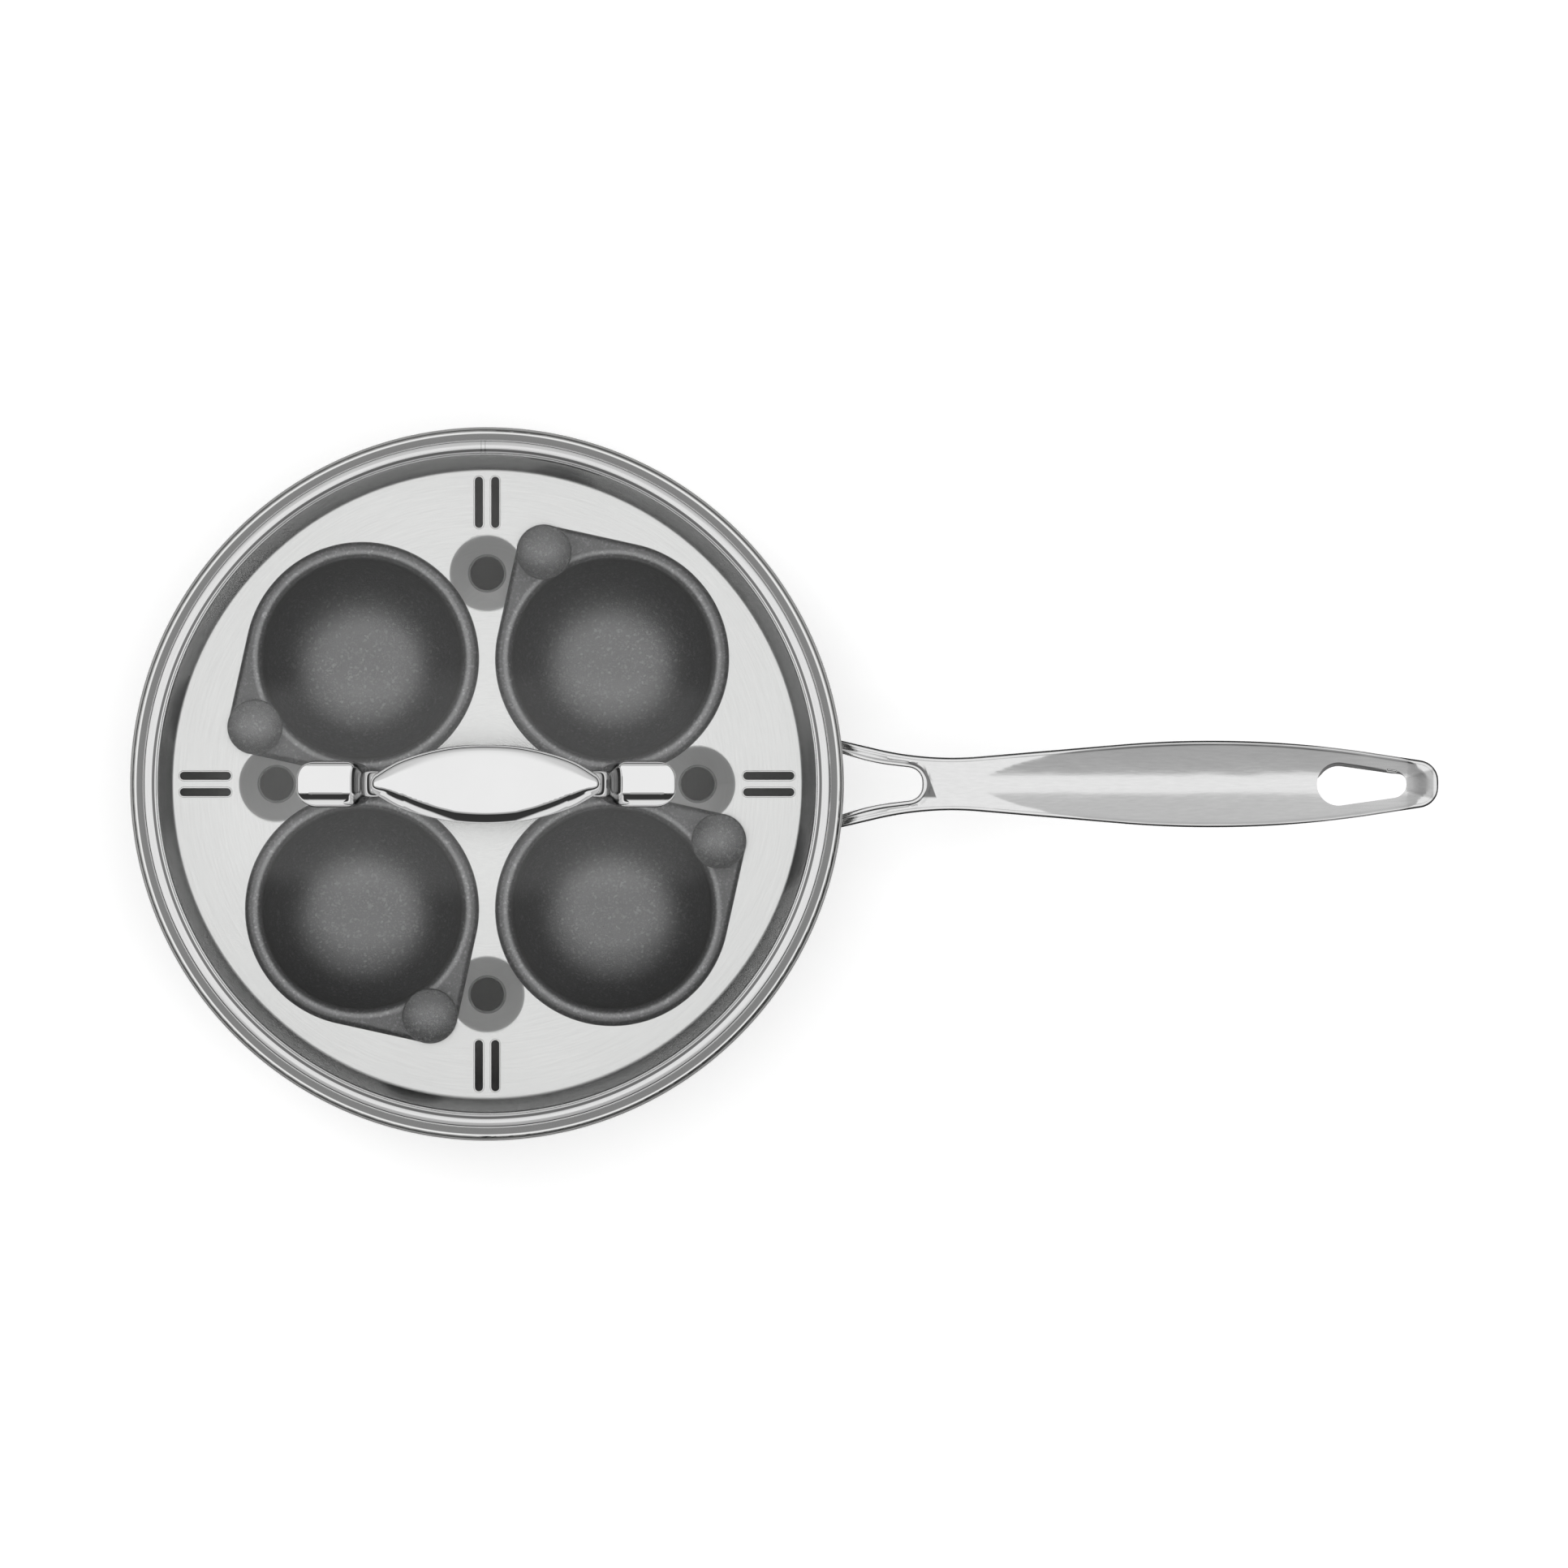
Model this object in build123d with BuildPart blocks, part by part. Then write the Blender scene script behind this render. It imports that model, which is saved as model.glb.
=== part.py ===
from build123d import *
from math import asin, cos, degrees, radians, sin, sqrt, tan
import os

# Egg poacher pan with its tray, four cups and glass lid in place, in millimetres.
# The origin is the centre of the flat base that it stands on. +Z is up and +X runs out along the handle.

# Shared clearances
overrun = 2.0
bore_fit = 0.05
head_recess = 0.15

# Pan: one drawn sheet with a flat turned-out lip whose edge curls down
pan_height = 70.0
pan_sheet = 0.9
lip_radius = 105.0
lip_width = 5.8
lip_bend_radius = 2.5
lip_curl_radius = 1.4
lip_curl_drop = 2.2
floor_corner_radius = 11.0

# Heat base: an aluminium disc under the pan, closed in by a steel cap
core_thickness = 5.0
base_sheet = 0.6
base_inset = 14.2
base_edge_radius = 2.0

# Tray: a sheet that hangs in the pan's mouth by its flange. The shares are of its well's radius.
tray_sheet = 0.8
tray_wall_gap = 0.8
tray_flange_inset = 1.4
tray_recess = 7.8
tray_lip_bend_radius = 1.6
tray_slope_width = 5.6
tray_slope_height = 3.6
tray_foot_bend_radius = 1.8
tray_shoulder_bend_radius = 2.0
station_count = 4
vent_length_share = 0.1537
vent_width = 2.4
vent_spacing = 4.8
vent_ring_share = 0.8453
drain_ring_share = 0.6322
drain_hole_radius = 5.0
drain_floor_radius = 5.45
drain_shoulder_share = 0.1127
drain_foot_share = 0.1332
drain_depth = 3.2
drain_floor_bend_radius = 0.9
drain_shoulder_bend_radius = 2.5

# Cups: a bowl under a flange that grows into an ear for the knob. The shares are of the tray well's radius.
cup_ring_share = 0.5307
cup_first_angle = 45.0
cup_bowl_share = 0.3002
cup_depth = 24.0
cup_wall = 1.6
cup_corner_share = 0.875
cup_flange_width = 5.0
cup_flange_thickness = 2.2
cup_round_share = 0.38
cup_round_limit_share = 0.87
cup_hole_clearance = 0.5

# Knobs: each stands on its ear, turned from the cup's outward direction by the same angle
knob_offset = 7.8
knob_bearing = 77.5
knob_radius = 8.05
knob_height = 10.0
knob_dome_share = 0.22
knob_foot_round = 0.4
knob_edge_round = 0.8
knob_screw_radius = 1.5
knob_screw_head_radius = 2.9
knob_screw_reach_share = 0.65
knob_bore_spare = 0.5
knob_socket_radius = 1.15
knob_socket_depth = 0.9
sink_angle = 82.0

# Lid: a flat-edged glass dome in a steel band whose skirt centres it in the tray
band_inset = 2.3
glass_thickness = 4.0
glass_edge_round = 0.8
glass_flat_width = 4.4
dome_rise = 21.0
band_sheet = 0.6
band_gap = 0.3
band_cover = 2.7
band_corner_radius = 0.9
skirt_gap = 0.6
skirt_drop = 3.5
glass_hole_radius = 4.0

# Lid handle: two pads on the dome, two legs and a lens-shaped grip
pad_centre = 46.5
pad_length = 18.0
pad_width = 13.3
pad_height = 5.5
pad_corner_radius = 5.2
pad_edge_round = 1.5
gasket_thickness = 1.2
gasket_inset = 0.6
washer_radius = 6.0
washer_thickness = 1.5
lid_screw_radius = 2.5
lid_screw_head_radius = 4.6
lid_screw_head_height = 2.8
lid_screw_head_round = 1.2
lid_screw_reach = 4.2
lid_screw_bore_spare = 0.4
lid_socket_radius = 1.7
lid_socket_depth = 1.6
finger_gap = 19.0
grip_length = 66.0
grip_width = 23.1
grip_crown = 2.6
grip_edge = 2.2
grip_belly = 3.0
leg_width = 7.7
leg_thickness = 4.6
leg_lean = 5.4
leg_bend_radius = 5.0
leg_foot_height = 1.4
leg_foot_rise = 1.7

# Pan handle: cast, forked at the pan, scooped along its top and holed near its tip. The shares are of the
# belly's width for the fork, and of half of it for the hang hole.
handle_length = 179.6
handle_root_drop = 14.0
handle_rise = 34.0
handle_crown = 4.0
handle_belly_width = 25.1
handle_root_thickness = 10.0
handle_tip_thickness = 4.8
handle_top_round = 0.4
handle_bottom_round = 1.2
fork_root_share = 0.8127
fork_length = 28.1
hang_hole_length = 26.3
hang_hole_big_share = 0.506
hang_hole_small_share = 0.3267
hang_hole_margin = 9.3
hang_hole_collar = 0.8
rim_width = 1.2
rim_depth = 0.45
scoop_depth = 2.0
wall_plate_width = 30.0
wall_plate_height = 22.0
wall_plate_thickness = 2.5
wall_plate_corner_radius = 5.0
rivet_radius = 2.4
rivet_head_radius = 3.9
rivet_head_height = 1.9
rivet_head_round = 1.3
rivet_spacing = 9.6

# Corners of the handle's outline before rounding, root to tip: each row is a share of the length from the
# wall to the tip, and of half the belly width.
tip_width_share = 0.491
handle_corner_shares = ((-0.03, 1.20), (0.1654, 0.543), (0.6888, 1.179), (1.0, tip_width_share), (1.0, 0.0))
# Corners of the fork's opening: each row is a share of the fork's length, and of half its width at the wall.
crotch_width_share = 0.435
fork_corner_shares = ((-0.19, 1.166), (0.4875, 0.604), (1.0, crotch_width_share), (1.0, 0.0))
# Rounding of those corners: the long bends are shares of length squared over width, so that they follow both,
# and the end bends are shares of half the width there.
neck_bend_share = 0.0747
belly_bend_share = 0.2443
tip_bend_share = 0.98
fork_bend_share = 1.55
crotch_bend_share = 0.98
# Scoop along the handle: each row is a share of the length, and of the full depth there.
scoop_shares = ((-0.04, 0.3), (0.2, 0.3), (0.4, 0.9), (0.6, 1.0), (0.8, 0.9), (1.04, 0.6))
profile_shares = (-0.04, 0.5, 1.04)
grip_station_shares = (0.0, 0.35, 0.7, 1.0)

# Places worked out from the sizes above
pan_bore_radius = lip_radius - lip_width
wall_outer_radius = pan_bore_radius + pan_sheet
pan_underside = base_sheet + core_thickness
pan_floor = pan_underside + pan_sheet
base_radius = pan_bore_radius - base_inset
tray_well_radius = pan_bore_radius - tray_wall_gap - tray_sheet
tray_flange_radius = lip_radius - tray_flange_inset
tray_top = pan_height + tray_sheet
tray_floor = tray_top - tray_recess
vent_length = vent_length_share * tray_well_radius
vent_ring_radius = vent_ring_share * tray_well_radius
drain_ring_radius = drain_ring_share * tray_well_radius
drain_shoulder_radius = drain_shoulder_share * tray_well_radius
drain_foot_radius = drain_foot_share * tray_well_radius
cup_ring_radius = cup_ring_share * tray_well_radius
cup_bowl_radius = cup_bowl_share * tray_well_radius
cup_flange_radius = cup_bowl_radius + cup_flange_width
cup_hole_radius = cup_bowl_radius + cup_wall + cup_hole_clearance
knob_distance = cup_bowl_radius + knob_offset
cup_top = tray_floor + cup_flange_thickness
cup_bottom = cup_top - cup_depth
cup_corner_radius = cup_corner_share * min(cup_depth, cup_bowl_radius)
cup_round = cup_round_share * (cup_flange_radius - cup_bowl_radius)
cup_edge_round = min(cup_round, cup_round_limit_share * cup_flange_thickness)
cup_mouth_round = min(cup_round, cup_round_limit_share * (cup_depth - cup_corner_radius))
knob_dome = knob_dome_share * knob_height
knob_screw_reach = knob_screw_reach_share * knob_height
glass_underside = tray_top + band_sheet
glass_top = glass_underside + glass_thickness
band_radius = tray_flange_radius - band_inset
glass_radius = band_radius - band_sheet - band_gap
dome_foot_radius = glass_radius - glass_flat_width
dome_inner_radius = (dome_foot_radius**2 + dome_rise**2) / (2 * dome_rise)
dome_outer_radius = dome_inner_radius + glass_thickness
dome_centre = glass_underside + dome_rise - dome_inner_radius
dome_top = dome_centre + dome_outer_radius
skirt_radius = tray_well_radius - skirt_gap
handle_reach = wall_outer_radius + handle_length
handle_root_top = pan_height - handle_root_drop
handle_half_width = handle_belly_width / 2
fork_root_width = fork_root_share * handle_belly_width
fork_half_width = fork_root_width / 2
hang_hole_big_radius = hang_hole_big_share * handle_half_width
hang_hole_small_radius = hang_hole_small_share * handle_half_width
handle_bends = (
    neck_bend_share * handle_length**2 / handle_belly_width,
    belly_bend_share * handle_length**2 / handle_belly_width,
    tip_bend_share * tip_width_share * handle_half_width,
)
fork_bends = (
    fork_bend_share * fork_length**2 / fork_root_width,
    crotch_bend_share * crotch_width_share * fork_half_width,
)
plate_face_radius = wall_outer_radius + wall_plate_thickness
rivet_height = handle_root_top - handle_root_thickness / 2
rivet_turn = asin(rivet_spacing / 2 / wall_outer_radius)


def sheet_section(corners, bends, sheet, side):
    """Section of a bent sheet: one surface through the corners, the other a sheet's thickness to one side."""
    with BuildSketch(Plane.XZ) as section:
        with BuildLine():
            surface = FilletPolyline(*corners, radius=bends)
            offset(surface, amount=sheet, side=side)
        make_face()
    return section.sketch


def save(shape, name):
    """Label one finished piece and write it to its own file."""
    shape.label = name
    export_step(shape, f"parts/{name}.step")


def rivet_plane(side, reach):
    """Plane square to one rivet, a reach out from the pan's axis. The side is 1 at +Y and -1 at -Y."""
    outward = (cos(rivet_turn), side * sin(rivet_turn), 0)
    return Plane((reach * outward[0], reach * outward[1], rivet_height), x_dir=(0, 0, 1), z_dir=outward)


os.makedirs("parts", exist_ok=True)


# Pan body
with BuildPart() as pan_body:
    add(
        sheet_section(
            (
                (0, pan_floor),
                (pan_bore_radius, pan_floor),
                (pan_bore_radius, pan_height),
                (lip_radius, pan_height),
                (lip_radius, pan_height - lip_curl_drop),
            ),
            (floor_corner_radius, lip_bend_radius, lip_curl_radius),
            pan_sheet,
            Side.RIGHT,
        )
    )
    revolve(axis=Axis.Z)
    for side in (1, -1):
        with BuildSketch(rivet_plane(side, pan_bore_radius - overrun)):
            Circle(rivet_radius + bore_fit)
        extrude(amount=pan_sheet + 2 * overrun, mode=Mode.SUBTRACT)

# Steel cap under the base
with BuildPart() as base_plate:
    add(
        sheet_section(
            ((0, 0), (base_radius, 0), (base_radius, pan_underside)),
            (base_edge_radius,),
            base_sheet,
            Side.LEFT,
        )
    )
    revolve(axis=Axis.Z)

# Aluminium disc between the cap and the pan
with BuildPart() as base_core:
    with BuildSketch(Plane.XY.offset(base_sheet)):
        Circle(base_radius - base_sheet)
    extrude(amount=core_thickness)
    fillet(base_core.edges().filter_by(GeomType.CIRCLE).sort_by(Axis.Z)[0], base_edge_radius - base_sheet)

# One drain dimple of the tray, at the tray's centre
with BuildPart() as drain_dimple:
    add(
        sheet_section(
            (
                (drain_hole_radius, tray_floor - drain_depth),
                (drain_floor_radius, tray_floor - drain_depth),
                (drain_shoulder_radius, tray_floor),
                (drain_foot_radius, tray_floor),
            ),
            (drain_floor_bend_radius, drain_shoulder_bend_radius),
            tray_sheet,
            Side.RIGHT,
        )
    )
    revolve(axis=Axis.Z)

# Tray
with BuildPart() as insert_tray:
    add(
        sheet_section(
            (
                (0, tray_floor),
                (tray_well_radius - tray_slope_width, tray_floor),
                (tray_well_radius, tray_floor + tray_slope_height),
                (tray_well_radius, tray_top),
                (tray_flange_radius, tray_top),
            ),
            (tray_foot_bend_radius, tray_shoulder_bend_radius, tray_lip_bend_radius),
            tray_sheet,
            Side.RIGHT,
        )
    )
    revolve(axis=Axis.Z)
    with BuildSketch(Plane.XY.offset(tray_floor - tray_sheet)):
        with PolarLocations(cup_ring_radius, station_count, start_angle=cup_first_angle):
            Circle(cup_hole_radius)
        with PolarLocations(drain_ring_radius, station_count):
            Circle(drain_foot_radius)
        with PolarLocations(vent_ring_radius, station_count):
            with Locations((0, vent_spacing / 2), (0, -vent_spacing / 2)):
                SlotOverall(vent_length, vent_width)
    extrude(amount=tray_sheet, mode=Mode.SUBTRACT)
    with PolarLocations(drain_ring_radius, station_count):
        add(drain_dimple.part)

# Cup and knob places of the first cup, which the others repeat by quarter turns
cup_x = cup_ring_radius * cos(radians(cup_first_angle))
cup_y = cup_ring_radius * sin(radians(cup_first_angle))
knob_dx = knob_distance * cos(radians(cup_first_angle + knob_bearing))
knob_dy = knob_distance * sin(radians(cup_first_angle + knob_bearing))
knob_x = cup_x + knob_dx
knob_y = cup_y + knob_dy
knob_axis = Axis((knob_x, knob_y, 0), (0, 0, 1))
knob_head_height = (knob_screw_head_radius - knob_screw_radius) / tan(radians(sink_angle / 2))

# Bowl, flange and ear of the first cup
with BuildPart() as cup_form:
    with BuildSketch(Plane((cup_x, cup_y, tray_floor))):
        Circle(cup_flange_radius)
        with Locations((knob_dx, knob_dy)):
            Circle(knob_radius)
        make_hull()
        Circle(cup_bowl_radius + cup_wall / 2, mode=Mode.SUBTRACT)
    extrude(amount=cup_flange_thickness)
    with BuildSketch(Plane((cup_x, cup_y, 0), x_dir=(1, 0, 0), z_dir=(0, -1, 0))):
        with BuildLine():
            bowl_surface = FilletPolyline(
                (0, cup_bottom),
                (cup_bowl_radius, cup_bottom),
                (cup_bowl_radius, cup_top),
                radius=(cup_corner_radius,),
            )
            offset(bowl_surface, amount=cup_wall, side=Side.RIGHT)
        make_face()
    revolve(axis=Axis((cup_x, cup_y, 0), (0, 0, 1)))
    top_face = cup_form.faces().filter_by(Plane.XY).sort_by(Axis.Z)[-1]
    fillet(top_face.inner_wires().edges(), cup_mouth_round)
    top_face = cup_form.faces().filter_by(Plane.XY).sort_by(Axis.Z)[-1]
    fillet(top_face.outer_wire().edges(), cup_edge_round)
    with Locations(Plane((knob_x, knob_y, tray_floor), x_dir=(1, 0, 0), z_dir=(0, 0, -1))):
        CounterSinkHole(
            knob_screw_radius + bore_fit,
            knob_screw_head_radius + bore_fit,
            depth=cup_flange_thickness,
            counter_sink_angle=sink_angle,
        )

# Knob of the first cup
with BuildPart() as knob_form:
    with BuildSketch(Plane((knob_x, knob_y, cup_top))):
        Circle(knob_radius)
        Circle(knob_screw_radius + bore_fit, mode=Mode.SUBTRACT)
    extrude(amount=knob_screw_reach + knob_bore_spare)
    with BuildSketch(Plane((knob_x, knob_y, 0), x_dir=(1, 0, 0), z_dir=(0, -1, 0))):
        with BuildLine():
            shoulder = (knob_radius, cup_top + knob_height - knob_dome)
            crown = (0, cup_top + knob_height)
            bore_end = (0, cup_top + knob_screw_reach + knob_bore_spare)
            side_foot = (knob_radius, cup_top + knob_screw_reach + knob_bore_spare)
            Polyline(crown, bore_end, side_foot, shoulder)
            TangentArc(crown, shoulder, tangent=(1, 0))
        make_face()
    revolve(axis=knob_axis)
    rings = knob_form.edges().filter_by(lambda edge: edge.is_closed)
    fillet(rings.group_by(Axis.Z)[-1], knob_edge_round)
    fillet(rings.group_by(Axis.Z)[0].sort_by(SortBy.LENGTH)[-1], knob_foot_round)

# Screw of the first knob, its head sunk in the underside of the ear
with BuildPart() as knob_screw_form:
    with BuildSketch(Plane((knob_x, knob_y, 0), x_dir=(1, 0, 0), z_dir=(0, -1, 0))):
        with BuildLine():
            Polyline(
                (0, tray_floor + head_recess),
                (knob_screw_head_radius - head_recess, tray_floor + head_recess),
                (knob_screw_radius, tray_floor + knob_head_height),
                (knob_screw_radius, cup_top + knob_screw_reach),
                (0, cup_top + knob_screw_reach),
                close=True,
            )
        make_face()
    revolve(axis=knob_axis)
    with BuildSketch(Plane((knob_x, knob_y, tray_floor + head_recess))):
        RegularPolygon(knob_socket_radius, side_count=6)
    extrude(amount=knob_socket_depth, mode=Mode.SUBTRACT)

# Glass dome with its flat edge and two screw holes
dome_edge_inner = degrees(asin(dome_foot_radius / dome_inner_radius))
dome_edge_radius = sqrt(dome_outer_radius**2 - (glass_top - dome_centre) ** 2)
dome_edge_outer = degrees(asin(dome_edge_radius / dome_outer_radius))
pad_tilt = degrees(asin(pad_centre / dome_outer_radius))


def dome_plane(side, height):
    """Plane square to the dome at one pad, a height above the glass. The side is 1 at +X and -1 at -X."""
    reach = dome_outer_radius + height
    place = (side * reach * sin(radians(pad_tilt)), 0, dome_centre + reach * cos(radians(pad_tilt)))
    outward = (side * sin(radians(pad_tilt)), 0, cos(radians(pad_tilt)))
    return Plane(place, x_dir=(outward[2], 0, -outward[0]), z_dir=outward)


with BuildPart() as lid_glass:
    with BuildSketch(Plane.XZ):
        with BuildLine():
            JernArc((0, dome_centre + dome_inner_radius), (1, 0), dome_inner_radius, -dome_edge_inner)
            Polyline(
                (dome_foot_radius, glass_underside),
                (glass_radius, glass_underside),
                (glass_radius, glass_top),
                (dome_edge_radius, glass_top),
            )
            JernArc((0, dome_top), (1, 0), dome_outer_radius, -dome_edge_outer)
            Line((0, dome_centre + dome_inner_radius), (0, dome_top))
        make_face()
    revolve(axis=Axis.Z)
    fillet(lid_glass.edges().filter_by(GeomType.CIRCLE).sort_by(SortBy.LENGTH)[-2:], glass_edge_round)
    for side in (1, -1):
        with BuildSketch(dome_plane(side, overrun)):
            Circle(glass_hole_radius)
        extrude(amount=-(glass_thickness + 2 * overrun), mode=Mode.SUBTRACT)

# Steel band round the glass, with a skirt that drops inside the tray
band_top = glass_top + band_sheet
with BuildPart() as lid_rim:
    add(
        sheet_section(
            (
                (skirt_radius, tray_top - skirt_drop),
                (skirt_radius, tray_top),
                (band_radius, tray_top),
                (band_radius, band_top),
                (band_radius - band_cover, band_top),
            ),
            (0, band_corner_radius, band_corner_radius),
            band_sheet,
            Side.LEFT,
        )
    )
    revolve(axis=Axis.Z)


# Lid handle
grip_underside = dome_top + finger_gap
grip_seam = grip_underside + grip_belly + grip_edge
grip_half_length = grip_length / 2
grip_bow = (grip_width - leg_width) / 2


def grip_section(share):
    """Cross-section of the grip at a share of its half length: crowned top, short edge, bellied underside."""
    half_width = leg_width / 2 + grip_bow * (1 - share**2)
    fullness = half_width / (grip_width / 2)
    underside = -grip_edge - grip_belly * fullness
    station = Plane((share * grip_half_length, 0, grip_seam), x_dir=(0, 1, 0), z_dir=(1, 0, 0))
    with BuildSketch(station) as section:
        with BuildLine():
            ThreePointArc((-half_width, 0), (0, grip_crown * fullness), (half_width, 0))
            Line((half_width, 0), (half_width, -grip_edge))
            ThreePointArc((half_width, -grip_edge), (0, underside), (-half_width, -grip_edge))
            Line((-half_width, -grip_edge), (-half_width, 0))
        make_face()
    return section.sketch


def pad_outline(side, height, inset):
    """Rounded outline of a pad in the plane of the dome, drawn in by an inset."""
    with BuildSketch(dome_plane(side, height)) as outline:
        RectangleRounded(pad_length - 2 * inset, pad_width - 2 * inset, pad_corner_radius - inset)
    return outline.sketch


with BuildPart() as grip_form:
    for share in [-s for s in reversed(grip_station_shares[1:])] + list(grip_station_shares):
        add(grip_section(share))
    loft()

leg_top = grip_seam - grip_edge
leg_end = grip_half_length - pad_length / 2
leg_foot = dome_plane(1, gasket_thickness + leg_foot_height).origin
with BuildPart() as leg_form:
    with BuildSketch(Plane.XZ.offset(-leg_width / 2)):
        with BuildLine():
            leg_surface = FilletPolyline(
                (pad_centre, leg_foot.Z),
                (grip_half_length + leg_lean, leg_foot.Z + leg_foot_rise),
                (grip_half_length, leg_top),
                (leg_end, leg_top),
                radius=leg_bend_radius,
            )
            offset(leg_surface, amount=leg_thickness, side=Side.RIGHT)
        make_face()
    extrude(amount=leg_width)

with BuildPart() as pad_form:
    add(pad_outline(1, gasket_thickness, 0))
    extrude(amount=pad_height)
    fillet(pad_form.faces().sort_by(Axis.Z)[-1].edges(), pad_edge_round)

with BuildPart() as lid_handle:
    add(grip_form.part)
    for side in (1, -1):
        turn = Location((0, 0, 0), (0, 0, 0 if side == 1 else 180))
        with Locations(turn):
            add(leg_form.part)
            add(pad_form.part)
    for side in (1, -1):
        with BuildSketch(dome_plane(side, gasket_thickness)):
            Circle(lid_screw_radius + bore_fit)
        extrude(amount=lid_screw_reach + lid_screw_bore_spare, mode=Mode.SUBTRACT)


def lid_gasket(side):
    """Soft pad between the dome and a pad of the handle, hollowed to the dome."""
    with BuildPart() as gasket:
        add(pad_outline(side, gasket_thickness, gasket_inset))
        extrude(amount=-(gasket_thickness + overrun))
        with BuildSketch(dome_plane(side, gasket_thickness)):
            Circle(lid_screw_radius + bore_fit)
        extrude(amount=-(gasket_thickness + overrun), mode=Mode.SUBTRACT)
        with Locations((0, 0, dome_centre)):
            Sphere(dome_outer_radius, mode=Mode.SUBTRACT)
    return gasket.part


def lid_washer(side):
    """Washer under the glass, crowned to the inside of the dome."""
    with BuildPart() as washer:
        with BuildSketch(dome_plane(side, -glass_thickness - washer_thickness)):
            Circle(washer_radius)
            Circle(lid_screw_radius + bore_fit, mode=Mode.SUBTRACT)
        extrude(amount=washer_thickness)
        with Locations((0, 0, dome_centre)):
            Sphere(dome_inner_radius, mode=Mode.INTERSECT)
    return washer.part


def lid_screw(side):
    """Screw from below the washer up into a pad of the handle."""
    head_plane = dome_plane(side, -glass_thickness - washer_thickness)
    with BuildPart() as screw:
        with BuildSketch(head_plane):
            Circle(lid_screw_head_radius)
        extrude(amount=-lid_screw_head_height)
        fillet(screw.edges().filter_by(GeomType.CIRCLE).sort_by(Axis.Z)[0], lid_screw_head_round)
        with BuildSketch(head_plane):
            Circle(lid_screw_radius)
        extrude(amount=washer_thickness + glass_thickness + gasket_thickness + lid_screw_reach)
        with BuildSketch(head_plane.offset(-lid_screw_head_height)):
            RegularPolygon(lid_socket_radius, side_count=6)
        extrude(amount=lid_socket_depth, mode=Mode.SUBTRACT)
    return screw.part


def handle_top(share):
    """Height of the handle's top at a share of its length."""
    return handle_root_top + handle_rise * share + handle_crown * 4 * share * (1 - share)


def handle_bottom(share):
    """Height of the handle's underside at a share of its length."""
    return handle_top(share) - handle_root_thickness + (handle_root_thickness - handle_tip_thickness) * share


def rounded_outline(rows, rounds, start, length, half_width):
    """Face symmetric about +X: the rows are its corners on one side, and the rounds their radii."""
    corners = [(start + along * length, across * half_width) for along, across in rows]
    with BuildSketch(Plane.XY) as outline:
        with BuildLine():
            FilletPolyline(*corners, radius=rounds)
            mirror(about=Plane.XZ)
            Line(corners[0], (corners[0][0], -corners[0][1]))
        make_face()
    return outline.sketch


def hang_hole(collar):
    """Egg-shaped outline of the hang hole, grown by a collar."""
    with BuildSketch(Plane.XY) as outline:
        with Locations((hang_hole_end - hang_hole_length + hang_hole_big_radius, 0)):
            Circle(hang_hole_big_radius + collar)
        with Locations((hang_hole_end - hang_hole_small_radius, 0)):
            Circle(hang_hole_small_radius + collar)
        make_hull()
    return outline.sketch


# Outlines of the pan handle, the opening of its fork and its hang hole
hang_hole_end = handle_reach - hang_hole_margin
handle_ceiling = handle_root_top + handle_rise + handle_crown + overrun
handle_outline = rounded_outline(
    handle_corner_shares,
    handle_bends,
    wall_outer_radius,
    handle_length,
    handle_half_width,
)
fork_outline = rounded_outline(
    fork_corner_shares,
    fork_bends,
    wall_outer_radius,
    fork_length,
    fork_half_width,
)

# Scoop along the handle's top: a shallow hollow with a steep edge, as wide as the belly
with BuildPart() as scoop_form:
    for along, depth_share in scoop_shares:
        place = (wall_outer_radius + along * handle_length, 0, handle_top(along))
        with BuildSketch(Plane(place, x_dir=(0, 1, 0), z_dir=(1, 0, 0))):
            with BuildLine():
                ThreePointArc(
                    (-handle_half_width, -rim_depth),
                    (0, -rim_depth - scoop_depth * depth_share),
                    (handle_half_width, -rim_depth),
                )
                Polyline(
                    (handle_half_width, -rim_depth),
                    (handle_half_width, handle_crown),
                    (-handle_half_width, handle_crown),
                    (-handle_half_width, -rim_depth),
                )
            make_face()
    loft()

# The scoop stays inside a rim along the handle's edge, the fork and the hang hole
with BuildPart() as scoop_window:
    with BuildSketch(Plane.XY):
        add(handle_outline)
        offset(amount=-rim_width)
        add(offset(fork_outline, amount=rim_width, mode=Mode.PRIVATE), mode=Mode.SUBTRACT)
        add(hang_hole(hang_hole_collar), mode=Mode.SUBTRACT)
    extrude(amount=handle_ceiling)
    add(scoop_form.part, mode=Mode.INTERSECT)

# Plate of the handle that lies on the pan's wall
with BuildPart() as wall_plate:
    with BuildSketch(Plane.YZ.offset(pan_bore_radius - overrun)):
        with Locations((0, rivet_height)):
            RectangleRounded(wall_plate_width, wall_plate_height, wall_plate_corner_radius)
    extrude(amount=pan_sheet + wall_plate_thickness + 2 * overrun)
    Cylinder(plate_face_radius, 2 * pan_height, mode=Mode.INTERSECT)

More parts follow.
